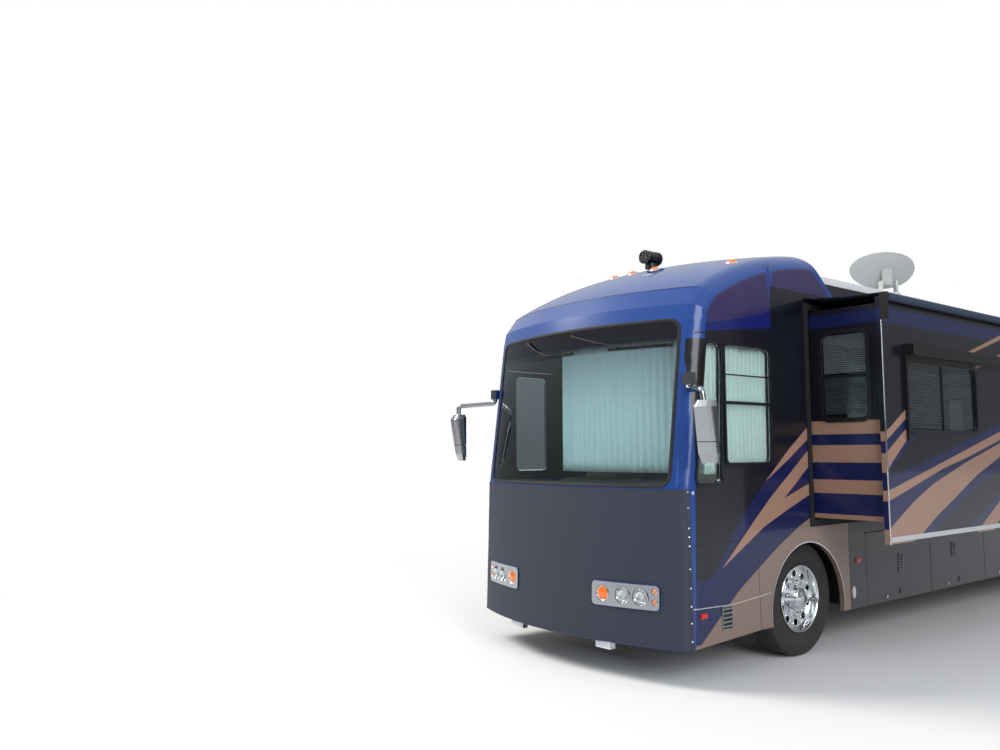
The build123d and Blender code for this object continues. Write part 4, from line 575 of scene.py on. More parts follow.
# %% Tyre rubber
def tyre_finish(name, centre_y):
    """Tyre rubber with moulded rings on the side walls, shoulder blocks and grooves round the tread."""
    mat = finish_of(name, paint(30, 30, 32), 0.78, vary=0.12, grime=0.35, grime_top=1.0)
    tree = mat.node_tree
    split = tree.nodes.new("ShaderNodeSeparateXYZ")
    tree.links.new(tree.nodes.new("ShaderNodeTexCoord").outputs["Object"], split.inputs[0])
    across = maths(tree, "SUBTRACT", split.outputs["Y"], centre_y)
    above = maths(tree, "SUBTRACT", split.outputs["Z"], tyre_r)
    radius = maths(tree, "SQRT", maths(tree, "ADD", maths(tree, "MULTIPLY", across, across),
                                       maths(tree, "MULTIPLY", above, above)))
    angle = maths(tree, "ARCTAN2", above, across)
    height = None
    for low, high in ((0.322, 0.328), (0.352, 0.356), (0.412, 0.432), (0.452, 0.456)):
        ring = inside(tree, radius, low, high, 0.004)
        height = ring if height is None else maths(tree, "ADD", height, ring)
    blocks = maths(tree, "GREATER_THAN", maths(tree, "SINE", maths(tree, "MULTIPLY", angle, 62.0)), 0.1)
    height = maths(tree, "ADD", height, maths(tree, "MULTIPLY", blocks,
                                              inside(tree, radius, 0.468, 0.503, 0.004)))
    across_tread = maths(tree, "SINE", maths(tree, "MULTIPLY", split.outputs["X"], 110.0))
    grooves = maths(tree, "GREATER_THAN", across_tread, -0.72)
    height = maths(tree, "ADD", height, maths(tree, "MULTIPLY", grooves,
                                              inside(tree, radius, 0.503, None, 0.002)))
    raised = tree.nodes.new("ShaderNodeBump")
    raised.inputs["Strength"].default_value = 0.8
    raised.inputs["Distance"].default_value = 0.004
    tree.links.new(height, raised.inputs["Height"])
    tree.links.new(raised.outputs[0], tree.nodes["Principled BSDF"].inputs["Normal"])
    return mat


finishes["tyre_front"] = tyre_finish("tyre_front_rubber", axle_y)
finishes["tyre_rear"] = tyre_finish("tyre_rear_rubber", rear_axle_y)
print("tyre rubber for both axles")

# %% Shells of the gear on the roof
finishes["roof_gear"] = finish_of("roof_gear_shells", paint(196, 197, 196), 0.4, bump=0.1)
rt = finishes["roof_gear"].node_tree
r_split = rt.nodes.new("ShaderNodeSeparateXYZ")
rt.links.new(rt.nodes.new("ShaderNodeTexCoord").outputs["Object"], r_split.inputs[0])
r_dark = inside(rt, r_split.outputs["Y"], None, axle_y - 0.2)
r_shader = rt.nodes["Principled BSDF"]
r_base = blend_colour(rt, r_dark, r_shader.inputs["Base Color"].links[0].from_socket, paint(14, 14, 16))
rt.links.new(r_base, r_shader.inputs["Base Color"])
print("roof gear: pale shells, and a black searchlight in front")

# %% [markdown]
# Glass lets the surround through and takes its gloss from its index of refraction, so it needs
# only a tint. The windshield's tint darkens towards the top, as a shade band does, and the dark
# top is also a painted reflection of dark surroundings. A mix of a transparent and a glossy
# shader would be quicker, but plain transmission is true from any side and outlives the export.

# %% Glass
def glass_of(name, tint, rough=0.0):
    """Clear glass: light passes through, the gloss comes from its index of refraction."""
    mat = bpy.data.materials.new(name)
    mat.use_nodes = True
    shader = mat.node_tree.nodes["Principled BSDF"]
    shader.inputs["Base Color"].default_value = tint
    shader.inputs["Roughness"].default_value = rough
    shader.inputs["IOR"].default_value = 1.45
    shader.inputs["Transmission Weight"].default_value = 1.0
    return mat


finishes["glass"] = glass_of("window_glass", paint(232, 246, 243))
finishes["windshield"] = glass_of("windshield_glass", paint(228, 250, 253))
windshield_nodes = finishes["windshield"].node_tree
v_split = windshield_nodes.nodes.new("ShaderNodeSeparateXYZ")
windshield_nodes.links.new(windshield_nodes.nodes.new("ShaderNodeTexCoord").outputs["Object"], v_split.inputs[0])
# Above 2.70 m the glass darkens: a real shade band, and also a painted reflection of dark surroundings.
v_share = maths(windshield_nodes, "DIVIDE", maths(windshield_nodes, "SUBTRACT", v_split.outputs["Z"], 2.70), 0.09, clamp=True)
v_tint_and_painted_reflection = blend_colour(windshield_nodes, v_share, paint(228, 250, 253), paint(70, 86, 128))
windshield_nodes.links.new(v_tint_and_painted_reflection, windshield_nodes.nodes["Principled BSDF"].inputs["Base Color"])
finishes["dark_glass"] = glass_of("tinted_glass", paint(208, 216, 219))
finishes["lens_glass"] = glass_of("lamp_glass", paint(236, 240, 242))
finishes["projector"] = finish_of("lamp_projector", paint(228, 230, 232), 0.15, coat=1.0, vary=0.02)
print("glass: clear, shaded, tinted and lens")

# %% [markdown]
# The floor keeps the coach's soft shadow and fades to white away from it. More light would
# whiten it too, but would wash out the coach, so the fade is in the floor's own shader.

# %% Floor of the studio
floor_finish = finish_of("studio_floor", paint(226, 226, 226), 0.9, vary=0.0)
ft = floor_finish.node_tree
f_split = ft.nodes.new("ShaderNodeSeparateXYZ")
ft.links.new(ft.nodes.new("ShaderNodeTexCoord").outputs["Object"], f_split.inputs[0])
f_x = maths(ft, "MAXIMUM", maths(ft, "SUBTRACT", maths(ft, "ABSOLUTE", f_split.outputs["X"]), 1.3), 0.0)
f_y = maths(ft, "MAXIMUM", maths(ft, "SUBTRACT", maths(ft, "ABSOLUTE", f_split.outputs["Y"]), 6.1), 0.0)
f_far = maths(ft, "SQRT", maths(ft, "ADD", maths(ft, "MULTIPLY", f_x, f_x),
                                maths(ft, "MULTIPLY", f_y, f_y)))
f_share = maths(ft, "DIVIDE", maths(ft, "SUBTRACT", f_far, 1.2), 5.5, clamp=True)
f_rays = ft.nodes.new("ShaderNodeLightPath")
f_seen = maths(ft, "MAXIMUM", f_rays.outputs["Is Camera Ray"], f_rays.outputs["Is Transmission Ray"])
f_white = ft.nodes.new("ShaderNodeEmission")
f_mix = ft.nodes.new("ShaderNodeMixShader")
f_fade = maths(ft, "MULTIPLY", maths(ft, "SMOOTH_MIN", f_share, 1.0, 0.3), 1.08, clamp=True)
ft.links.new(maths(ft, "MULTIPLY", f_fade, f_seen), f_mix.inputs[0])
ft.links.new(ft.nodes["Principled BSDF"].outputs[0], f_mix.inputs[1])
ft.links.new(f_white.outputs[0], f_mix.inputs[2])
ft.links.new(f_mix.outputs[0], ft.nodes["Material Output"].inputs[0])
floor_mesh.materials.append(floor_finish)
print("the floor fades to white from 1.2 m off the coach")

# %% [markdown]
# Every CAD node now gets its finish, by the slot that the record names or by its own name. One
# loop does it, so that no node is left bare, and no node's mesh is touched.

# %% Finishes for the CAD nodes
def dress(obj, *mats):
    """Puts materials on an object in place of what it has."""
    obj.data.materials.clear()
    for mat in mats:
        obj.data.materials.append(mat)


slot_of = {row["node"]: row["material_slot"] for row in frame["record"]["subparts"]}
for name, node in nodes.items():
    slot_name = slot_of[name]
    if name in ("front_cap", "entry_door"):
        mat = cap_finish
    elif name.startswith("slide") and name.endswith("room"):
        mat = slide_finish
    elif name in ("mirrors", "headlamp_bezels"):
        mat = finishes["shell_chrome"]
    elif name == "windshield":
        mat = finishes["windshield"]
    elif name == "side_glass":
        mat = finishes["glass"]
    elif name == "roof_gear":
        mat = finishes["roof_gear"]
    elif name.startswith("tyre"):
        mat = finishes["tyre_rear" if "rear" in name else "tyre_front"]
    elif slot_name == "glass":
        mat = finishes["dark_glass"]
    elif slot_name in ("paint", "skirt_paint", "nose_paint"):
        mat = wall_finish
    elif slot_name == "lens":
        mat = finishes["amber"]
    else:
        mat = finishes[slot_name]
    dress(node, mat)
print("dressed", len(nodes), "nodes")

# %% [markdown]
# Many pieces below are made straight from points and faces. A small gatherer keeps that short:
# it takes blocks, turned shapes, tubes and patches one after another and makes one clean mesh.
# Blender's own add-a-shape operators would make one object for each part, to be placed, turned
# and joined afterwards, while points that are written in place need none of that.

# %% A gatherer for mesh parts
class Shape:
    """Points and faces gathered part by part, then made one mesh that rides on a body."""

    def __init__(self):
        self.points, self.faces, self.marks = [], [], []

    def add(self, points, faces, mark=0):
        start = len(self.points)
        self.points += [tuple(p) for p in points]
        self.faces += [[start + i for i in face] for face in faces]
        self.marks += [mark] * len(faces)
        return self

    def block(self, x0, x1, y0, y1, z0, z1, mark=0):
        corners = [(x, y, z) for x in (x0, x1) for y in (y0, y1) for z in (z0, z1)]
        faces = [(0, 1, 3, 2), (4, 6, 7, 5), (0, 4, 5, 1), (2, 3, 7, 6), (0, 2, 6, 4), (1, 5, 7, 3)]
        return self.add(corners, faces, mark)

    def patch(self, rows, mark=0, closed=False):
        """Quads between rows of points; closed joins each row's end to its start."""
        wide = len(rows[0])
        faces = [[i * wide + j, i * wide + (j + 1) % wide, (i + 1) * wide + (j + 1) % wide,
                  (i + 1) * wide + j] for i in range(len(rows) - 1)
                 for j in range(wide if closed else wide - 1)]
        return self.add([p for row in rows for p in row], faces, mark)

    def turned(self, centre, axis, profile, steps=36, mark=0):
        """A profile of (along the axis, radius) points turned about the axis."""
        axis = Vector(axis).normalized()
        side = axis.orthogonal().normalized()
        up = axis.cross(side)
        rows = []
        for along, radius in profile:
            ring = [2 * math.pi * k / steps for k in range(steps)]
            rows.append([Vector(centre) + axis * along + (side * math.cos(a) + up * math.sin(a)) * radius
                         for a in ring])
        return self.patch(rows, mark, closed=True)

    def tube(self, path, radius, sides=12, mark=0):
        """A round bar along a path, closed at both ends."""
        path = [Vector(p) for p in path]
        side = (path[1] - path[0]).orthogonal().normalized()
        rows = []
        for i, spot in enumerate(path):
            ahead = (path[min(i + 1, len(path) - 1)] - path[max(i - 1, 0)]).normalized()
            side = (side - ahead * side.dot(ahead)).normalized()
            up = ahead.cross(side)
            ring = [spot + (side * math.cos(2 * math.pi * k / sides)
                            + up * math.sin(2 * math.pi * k / sides)) * radius for k in range(sides)]
            rows += [[spot] * sides] * (i == 0) + [ring] + [[spot] * sides] * (i == len(path) - 1)
        return self.patch(rows, mark, closed=True)

    def make(self, name, finish, body="root", slot=None, smooth=35, bevel=0.0, closed=True):
        mesh = bpy.data.meshes.new(name)
        mesh.from_pydata(self.points, [], self.faces)
        for face, mark in zip(mesh.polygons, self.marks):
            face.material_index = mark
        work = bmesh.new()
        work.from_mesh(mesh)
        bmesh.ops.remove_doubles(work, verts=work.verts, dist=1e-5)
        bmesh.ops.dissolve_degenerate(work, edges=work.edges, dist=1e-6)
        if closed:
            bmesh.ops.recalc_face_normals(work, faces=work.faces)
        work.to_mesh(mesh)
        work.free()
        mesh.shade_smooth()
        mesh.set_sharp_from_angle(angle=math.radians(smooth))
        obj = bpy.data.objects.new(name, mesh)
        scene.collection.objects.link(obj)
        for mat in finish if isinstance(finish, (list, tuple)) else [finish]:
            mesh.materials.append(mat)
        if bevel:
            rounding = obj.modifiers.new("rounded_edges", "BEVEL")
            rounding.width, rounding.segments, rounding.limit_method = bevel, 2, "ANGLE"
            rounding.angle_limit = math.radians(40)
        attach(obj, body)
        return obj


def made(*pieces):
    """Prints each piece's name and how many faces it has."""
    print(", ".join(f"{piece.name}: {len(piece.data.polygons)} faces" for piece in pieces))


print("a gatherer with", len([part for part in vars(Shape) if not part.startswith("_")]), "kinds of work")

# %% [markdown]
# Snaps and wheel nuts repeat one small head on a list of spots. A loop could copy an object for
# each, and leave dozens of them. One Geometry Nodes tree does them all instead: it stands a
# tapered head on each spot, turned to the spot's own direction, and gives one mesh.

# %% The tree of repeated heads
stud_tree = bpy.data.node_groups.new("repeated_heads", "GeometryNodeTree")
stud_sockets = {}
for label, kind in (("Spots", "NodeSocketGeometry"), ("Radius", "NodeSocketFloat"),
                    ("Top", "NodeSocketFloat"), ("Height", "NodeSocketFloat"), ("Sides", "NodeSocketInt"),
                    ("Finish", "NodeSocketMaterial")):
    stud_sockets[label] = stud_tree.interface.new_socket(label, in_out="INPUT", socket_type=kind).identifier
stud_tree.interface.new_socket("Heads", in_out="OUTPUT", socket_type="NodeSocketGeometry")
st_in, st_out = stud_tree.nodes.new("NodeGroupInput"), stud_tree.nodes.new("NodeGroupOutput")
st_cone = stud_tree.nodes.new("GeometryNodeMeshCone")
st_facing = stud_tree.nodes.new("GeometryNodeInputNamedAttribute")
st_facing.data_type = "FLOAT_VECTOR"
st_facing.inputs["Name"].default_value = "facing"
st_turn = stud_tree.nodes.new("FunctionNodeAlignRotationToVector")
st_turn.axis = "Z"
st_put = stud_tree.nodes.new("GeometryNodeInstanceOnPoints")
st_real = stud_tree.nodes.new("GeometryNodeRealizeInstances")
st_finish = stud_tree.nodes.new("GeometryNodeSetMaterial")
for out, into in ((st_in.outputs["Spots"], st_put.inputs["Points"]),
                  (st_in.outputs["Sides"], st_cone.inputs["Vertices"]),
                  (st_in.outputs["Top"], st_cone.inputs["Radius Top"]),
                  (st_in.outputs["Radius"], st_cone.inputs["Radius Bottom"]),
                  (st_in.outputs["Height"], st_cone.inputs["Depth"]),
                  (st_cone.outputs["Mesh"], st_put.inputs["Instance"]),
                  (st_facing.outputs["Attribute"], st_turn.inputs["Vector"]),
                  (st_turn.outputs["Rotation"], st_put.inputs["Rotation"]),
                  (st_put.outputs["Instances"], st_real.inputs["Geometry"]),
                  (st_real.outputs["Geometry"], st_finish.inputs["Geometry"]),
                  (st_in.outputs["Finish"], st_finish.inputs["Material"]),
                  (st_finish.outputs["Geometry"], st_out.inputs["Heads"])):
    stud_tree.links.new(out, into)
print("tree of heads:", len(stud_tree.nodes), "nodes")

# %% Heads on spots
def heads(name, spots, radius, top, height, sides, finish, body="root"):
    """One head on each (place, direction) spot, made a plain mesh."""
    mesh = bpy.data.meshes.new(name)
    mesh.from_pydata([tuple(p) for p, n in spots], [], [])
    facing = mesh.attributes.new("facing", "FLOAT_VECTOR", "POINT")
    for i, (p, n) in enumerate(spots):
        facing.data[i].vector = Vector(n)
    obj = bpy.data.objects.new(name, mesh)
    scene.collection.objects.link(obj)
    nodes_on = obj.modifiers.new("heads", "NODES")
    nodes_on.node_group = stud_tree
    for label, value in (("Radius", radius), ("Top", top), ("Height", height), ("Sides", sides),
                         ("Finish", finish)):
        nodes_on[stud_sockets[label]] = value
    plain = bpy.data.meshes.new_from_object(obj.evaluated_get(bpy.context.evaluated_depsgraph_get()))
    obj.modifiers.clear()
    obj.data = plain
    plain.name = name
    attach(obj, body)
    return obj


# %% [markdown]
# Pieces that lie on the bowed nose are placed by how far round the skin they are. The skin is a
# wide arc, then a tighter arc at the corner, then the flat side, so one function follows all
# three. Shrinkwrap would pull a piece onto the skin too, but would slide its corners about.

# %% Places on the wrapped skin
corner_r = 0.16


def wrap_point(run, z, proud=0.0):
    """The point that many metres round the skin from the middle, and its outward direction."""
    r, c, half = skin_radius(z) + proud, corner_r + proud, half_width + proud
    back = math.sqrt((r - c) ** 2 - (half - c) ** 2)
    turn = math.atan2(half - c, back)
    side, far = math.copysign(1.0, run), abs(run)
    bend = turn + (far - r * turn) / c
    if far <= r * turn:
        angle = far / r
        spot = Vector((r * math.sin(angle), bow_y - r * math.cos(angle), z))
    elif bend <= math.pi / 2:
        angle = bend
        spot = Vector((half - c + c * math.sin(angle), bow_y - back - c * math.cos(angle), z))
    else:
        angle = math.pi / 2
        spot = Vector((half, bow_y - back + far - r * turn - c * (math.pi / 2 - turn), z))
    spot.x *= side
    return spot, Vector((side * math.sin(angle), -math.cos(angle), 0))


def run_of(x, z):
    """How far round the bow a station x lies."""
    return skin_radius(z) * math.asin(x / skin_radius(z))


def run_to(y, z):
    """How far round the skin its side reaches a station y."""
    low, high = 1.2, 14.0
    for _ in range(48):
        middle = (low + high) / 2
        low, high = (middle, high) if wrap_point(middle, z)[0].y < y else (low, middle)
    return low


print("skin runs to the cover's edge:", round(run_to(axle_y - 1.6, 1.0), 3), "m")

# %% [markdown]
# The nose wears a black vinyl cover, snapped along both corners and open round the headlamps.
# It is a stretched sheet: a grid laid a few millimetres off the paint, with the soft ripples
# that pull away from the snaps, a seam across it, and a turned hem at its edges and openings.
# A cloth simulation could find the ripples, but a cover that is snapped this tight hardly
# moves, so they are written as small waves.

# %% The vinyl nose cover
cover_low, cover_high, cover_end = 0.291, 1.544, axle_y - 1.6
open_x, open_z, open_w, open_h = 0.785, 0.680, 0.310, 0.1075
snap_heights = (0.36, 0.50, 0.63, 0.77, 0.92, 1.10, 1.17, 1.24, 1.40, 1.525)


def cover_proud(run, z):
    """How far the cloth stands off the paint."""
    ripple = field_noise.noise(Vector((run * 1.6, z * 2.6, 3.0))) * 0.0016
    ripple += field_noise.noise(Vector((run * 5.0, z * 3.0, 9.0))) * 0.0007
    edge = run_to(cover_end, z) - abs(run)
    pull = math.exp(-edge / 0.16) * 0.0022
    nearest = min(abs(z - s) for s in snap_heights)
    ripple += pull * min(1.0, nearest / 0.05) * math.cos(math.pi * min(edge, 0.5) / 0.07)
    seam = 1.105 - 0.018 * run
    ripple += 0.0016 * math.exp(-((z - seam) / 0.010) ** 2)
    ripple += 0.0012 * max(0.0, 1 - abs(z - 1.50) / 0.02) + 0.0018 * max(0.0, 1 - abs(z - 0.40) / 0.012)
    return 0.0048 + ripple


# %% The grid of the cover
heights = sorted(set([round(cover_low + (cover_high - cover_low) * i / 84, 4) for i in range(85)]
                     + [open_z - open_h, open_z + open_h]))
inner_runs = [run_of(x, 0.7) for x in (0, 0.475, 1.095)]
runs = []
for a, b, count in ((inner_runs[0], inner_runs[1], 20), (inner_runs[1], inner_runs[2], 30),
                    (inner_runs[2], None, 22)):
    runs += [(a, b, i / count) for i in range(count + (b is None))]


def column_run(column, z):
    a, b, share = column
    b = run_to(cover_end, z) if b is None else b
    return a + (b - a) * share


cover_rows = []
for z in heights:
    half_row = [column_run(c, z) for c in runs]
    row = [-r for r in reversed(half_row[1:])] + half_row
    cover_rows.append([wrap_point(r, z, cover_proud(r, z))[0] for r in row])
cover = Shape()
wide = len(cover_rows[0])
cover_faces = []
for i in range(len(heights) - 1):
    for j in range(wide - 1):
        quad = (i * wide + j, i * wide + j + 1, (i + 1) * wide + j + 1, (i + 1) * wide + j)
        mid_x = (cover_rows[i][j].x + cover_rows[i][j + 1].x) / 2
        mid_z = (heights[i] + heights[i + 1]) / 2
        if abs(abs(mid_x) - open_x) > open_w - 0.002 or abs(mid_z - open_z) > open_h - 0.002:
            cover_faces.append(quad)
cover.add([p for row in cover_rows for p in row], cover_faces)
nose_cover = cover.make("nose_cover", finishes["vinyl"], slot="vinyl", smooth=60, closed=False)
used = {v for f in nose_cover.data.polygons for v in f.vertices}
trim_mesh = bmesh.new()
trim_mesh.from_mesh(nose_cover.data)
trim_mesh.verts.ensure_lookup_table()
bmesh.ops.delete(trim_mesh, geom=[v for v in trim_mesh.verts if v.index not in used], context="VERTS")
trim_mesh.to_mesh(nose_cover.data)
trim_mesh.free()
cover_wide = 2 * run_to(cover_end, 0.9)
cloth_skin = nose_cover.modifiers.new("cloth_thickness", "SOLIDIFY")
cloth_skin.thickness, cloth_skin.offset = 0.0016, 0.0
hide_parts("nose_mask")
made(nose_cover)


# %% Hems and snaps of the cover
def frame_path(x, z, w, h, corner, steps=6):
    """A rounded rectangle's outline as (x, z) points."""
    out = []
    for sx, sz, first in ((1, 1, 0), (-1, 1, 90), (-1, -1, 180), (1, -1, 270)):
        for k in range(steps + 1):
            a = math.radians(first + 90 * k / steps)
            out.append((x + sx * (w - corner) + corner * math.cos(a),
                        z + sz * (h - corner) + corner * math.sin(a)))
    return out


hems = Shape()
for side in (1, -1):
    outer = frame_path(side * open_x, open_z, open_w + 0.016, open_h + 0.016, 0.055)
    inner = frame_path(side * open_x, open_z, open_w + 0.001, open_h + 0.001, 0.042)
    lip = [on_nose(x, z, 0.0015) for x, z in inner]
    rows = [[on_nose(x, z, 0.0040) for x, z in outer], [on_nose(x, z, 0.0072) for x, z in outer],
            [on_nose(x, z, 0.0078) for x, z in inner], lip]
    hems.patch(rows, closed=True)
for z, hem in ((cover_high - 0.011, 0.011), (cover_low + 0.012, 0.012)):
    edge_runs = [run_to(cover_end, z) * (k / 60 - 1) for k in range(121)]
    rows = [[wrap_point(r, z + dz, cover_proud(r, z) + d)[0] for r in edge_runs]
            for dz, d in ((-hem, -0.001), (-hem, 0.0016), (hem, 0.0022), (hem, -0.003))]
    hems.patch(rows)
for side in (1, -1):
    rows = []
    for dr, d in ((-0.026, -0.001), (-0.026, 0.0014), (0.0, 0.0018), (0.0, -0.003)):
        rows.append([wrap_point(side * (run_to(cover_end, z) + dr), z,
                                cover_proud(run_to(cover_end, z), z) + d)[0] for z in heights])
    hems.patch(rows)
cover_hems = hems.make("cover_hems", finishes["vinyl"], slot="vinyl", closed=False)
snap_spots = []
for side in (1, -1):
    for z in snap_heights:
        spot, facing = wrap_point(side * (run_to(cover_end, z) - 0.014), z, cover_proud(1.6, z) + 0.0035)
        snap_spots.append((spot, facing))
snaps = heads("cover_snaps", snap_spots, 0.0085, 0.0055, 0.004, 14, finishes["chrome"])
made(cover_hems, snaps)

# %% [markdown]
# Each headlamp panel is a chromed plate with five round lamps. A lamp is a bright bowl, a bulb
# or projector in it and a lens over it, so light goes in and comes back as it does in a real
# one. The amber ones have a moulded amber lens with rings in it. A painted disc would be much
# simpler, but it stays flat when the view moves, which real lamps never do.

# %% Headlamps
lamp_rows = ((0.588, 0.679, 0.064, "amber"), (0.776, 0.679, 0.070, "clear"), (0.931, 0.679, 0.070, "clear"),
             (1.047, 0.731, 0.026, "amber"), (1.047, 0.646, 0.026, "amber"))
bowls, amber_lenses, clear_lenses, bulbs = Shape(), Shape(), Shape(), Shape()
for side in (1, -1):
    for x, z, r, kind in lamp_rows:
        centre = on_nose(x, z, 0.011)
        facing = Vector((x * 0.6, centre.y - bow_y, 0)).normalized()
        centre.x, facing.x = centre.x * side, facing.x * side
        r -= 0.002
        bowls.turned(centre, facing, [(0.003, r), (0.0045, r - 0.004), (0.001, r - 0.007),
                                      (-0.006, r * 0.62), (-0.009, r * 0.30), (-0.0095, 0.0)], 40)
        if kind == "amber":
            rings = [(0.0, r - 0.006)]
            for k in range(8):
                share = (k + 0.5) / 8
                rings.append((0.001 + 0.0085 * math.sin(share * math.pi / 2) + 0.0008 * (k % 2),
                              (r - 0.007) * (1 - share)))
            amber_lenses.turned(centre, facing, rings + [(0.0098, 0.0)], 36)
        else:
            glass = [(0.0015, r - 0.005)]
            for k in range(1, 9):
                glass.append((0.0015 + 0.0075 * math.sin(k / 8 * math.pi / 2),
                              (r - 0.005) * math.cos(k / 8 * math.pi / 2)))
            clear_lenses.turned(centre, facing, glass, 40)
            bulbs.turned(centre, facing, [(-0.008, 0.026), (-0.004, 0.026), (-0.001, 0.021), (0.001, 0.012),
                                          (0.0015, 0.0)], 28)
head_bowls = bowls.make("head_lamp_bowls", finishes["chrome"], slot="chrome", closed=False)
head_ambers = amber_lenses.make("head_lamp_ambers", finishes["amber"], slot="lens", closed=False)
head_clears = clear_lenses.make("head_lamp_glass", finishes["lens_glass"], slot="glass", closed=False)
head_bulbs = bulbs.make("head_lamp_projectors", finishes["projector"], slot="lens", closed=False)
made(head_bowls, head_ambers, head_clears, head_bulbs)

# %% [markdown]
# Smaller lamps are spread over the body: fog lamps under the nose, amber markers along the dome,
# red reflectors low on the sides and round lamps at the tail. The markers sit on a domed roof,
# so each ring of their points is laid on the dome's own height instead of on a flat base.

# %% Lamps below the nose, on the sides, roof and tail
fogs = Shape()
for side in (1, -1):
    fog_y = bow_y - math.sqrt(3.1 ** 2 - 0.557 ** 2) + 0.060
    fogs.block(side * 0.473, side * 0.641, fog_y - 0.030, fog_y + 0.034, 0.222, 0.285)
    fogs.block(side * 0.481, side * 0.633, fog_y - 0.0345, fog_y - 0.029, 0.231, 0.276, mark=1)
fog_lamps = fogs.make("fog_lamps", [finishes["chrome"], finishes["clear"]], slot="chrome", bevel=0.004)
markers = Shape()
for x, ring in ((0.0, 1.965), (0.27, 1.965), (-0.27, 1.965), (1.086, 2.137), (-1.086, 2.137)):
    centre = Vector((x, bow_y - math.sqrt(ring * ring - x * x), dome_height(ring)))
    for mark, grow, tall in ((1, 1.0, 0.010), (0, 0.86, 0.027)):
        rows = []
        for k in range(7):
            lift = math.sin(k / 6 * math.pi / 2) * tall
            shrink = math.cos(k / 6 * math.pi / 2) if k else 1.0
            rows.append([])
            for n in range(28):
                a = 2 * math.pi * n / 28
                dx, dy = 0.062 * grow * shrink * math.cos(a), 0.044 * grow * shrink * math.sin(a)
                base = dome_height(math.hypot(centre.x + dx, centre.y + dy - bow_y))
                rows[-1].append((centre.x + dx, centre.y + dy, base + lift + 0.0005))
        markers.patch([[(p[0], p[1], p[2] - 0.004) for p in rows[0]]] + rows, mark, closed=True)
dome_markers = markers.make("dome_markers", [finishes["amber"], finishes["chrome"]], slot="lens")
tails = Shape()
for side in (1, -1):
    for y, z in ((axle_y - 1.484, 0.540), (axle_y + 0.905, 0.788)):
        x = side * half_width
        tails.block(x + side * 0.0005, x + side * 0.008, y - 0.044, y + 0.044, z - 0.021, z + 0.021)
        tails.block(x + side * 0.008, x + side * 0.0135, y - 0.036, y + 0.036, z - 0.014, z + 0.014)
    for z in (0.90, 1.08, 1.26):
        profile = [(0.0, 0.061), (0.007, 0.061), (0.010, 0.056), (0.012, 0.045), (0.0105, 0.043),
                   (0.0135, 0.030), (0.012, 0.027), (0.0155, 0.010), (0.016, 0.0)]
        tails.turned((side * 1.14, tail_y + 0.0005, z), (0, 1, 0), profile, 36, mark=2 if z < 1.0 else 0)
        tails.turned((side * 1.14, tail_y + 0.0004, z), (0, 1, 0),
                     [(0.0, 0.062), (0.006, 0.0618), (0.006, 0.0605)], 36, 1)
tail_lamps = tails.make("red_lamps", [finishes["red"], finishes["chrome"], finishes["clear"]], slot="lens",
                        bevel=0.0015)
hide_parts("lamps")
made(fog_lamps, dome_markers, tail_lamps)

# %% [markdown]
# The windshield is glued in a rubber gasket, and two wipers park along its top. The blades are
# the packed ones; their arms, pivots and claws are thin bars laid just off the glass. The
# gasket could be a bevelled curve, but a strip of rows laid by the nose's own function keeps
# its lips on the glass and on the paint all the way round.

# %% Windshield gasket
glass_low, glass_high, glass_half_w, glass_corner = 1.565, 2.947, 1.150, 0.09
glass_mid, glass_half_h = (glass_low + glass_high) / 2, (glass_high - glass_low) / 2
outline = frame_path(0, glass_mid, glass_half_w, glass_half_h, glass_corner, steps=8)
edge_ring = []
for (x0, z0), (x1, z1) in zip(outline, outline[1:] + outline[:1]):
    steps = max(1, int(math.hypot(x1 - x0, z1 - z0) / 0.06))
    edge_ring += [(x0 + (x1 - x0) * k / steps, z0 + (z1 - z0) * k / steps) for k in range(steps)]


def beside(x, z, shift):
    """Moves an outline point of the windshield outwards by shift."""
    reach_x, reach_z = glass_half_w - glass_corner, glass_half_h - glass_corner
    cx = max(-reach_x, min(reach_x, x))
    cz = max(glass_mid - reach_z, min(glass_mid + reach_z, z))
    away = Vector((x - cx, 0, z - cz)).normalized()
    return x + away.x * shift, z + away.z * shift


gasket_lips = ((-0.016, -0.0055), (-0.016, -0.0010), (-0.004, 0.0030), (0.010, 0.0026), (0.013, 0.0004))
gasket_rows = [[on_nose(*beside(x, z, shift), proud) for x, z in edge_ring] for shift, proud in gasket_lips]
gasket = Shape().patch(gasket_rows, closed=True)
glass_gasket = gasket.make("windshield_gasket", finishes["rubber"], slot="rubber", closed=False)
made(glass_gasket)

# %% Wiper arms
wiper_line = 2.732
arms = Shape()
for pivot, elbow, tip in (((0.114, 2.888), (0.42, 2.800), (0.691, 2.738)),
                          ((-0.560, 2.893), (-0.40, 2.805), (-0.190, 2.738))):
    boss = on_nose(*pivot, -0.004)
    out = (boss - Vector((0, bow_y, boss.z))).normalized()
    arms.turned(boss, out, [(0, 0.0), (0, 0.021), (0.016, 0.020), (0.021, 0.015), (0.022, 0.0)], 20)
    spine = [on_nose(pivot[0] + (elbow[0] - pivot[0]) * t, pivot[1] + (elbow[1] - pivot[1]) * t, 0.015)
             for t in (0, 0.33, 0.66, 1)]
    spine += [on_nose(elbow[0] + (tip[0] - elbow[0]) * t, elbow[1] + (tip[1] - elbow[1]) * t,
                      0.015 - 0.002 * t) for t in (0.33, 0.66, 1)]
    arms.tube(spine[:4], 0.0095, 8)
    arms.tube(spine[3:], 0.0065, 8)
    for k in (-1, 1):
        foot = tip[0] + k * 0.14
        arms.tube([on_nose(tip[0], tip[1], 0.014), on_nose(tip[0] + k * 0.05, tip[1] + 0.006, 0.015),
                   on_nose(foot, wiper_line, 0.010)], 0.0045, 6)
wiper_arms = arms.make("wiper_arms", finishes["rubber"], slot="black_trim")
made(wiper_arms)

# %% [markdown]
# The mirrors are chrome shells on bent tubes. Behind each shell lies the glass, in a thin black
# surround, and a narrow joint runs round the shell where its lower, adjustable part begins.
# Both are placed with the same turn as the shell's, so they stay in it if it is toed in more.

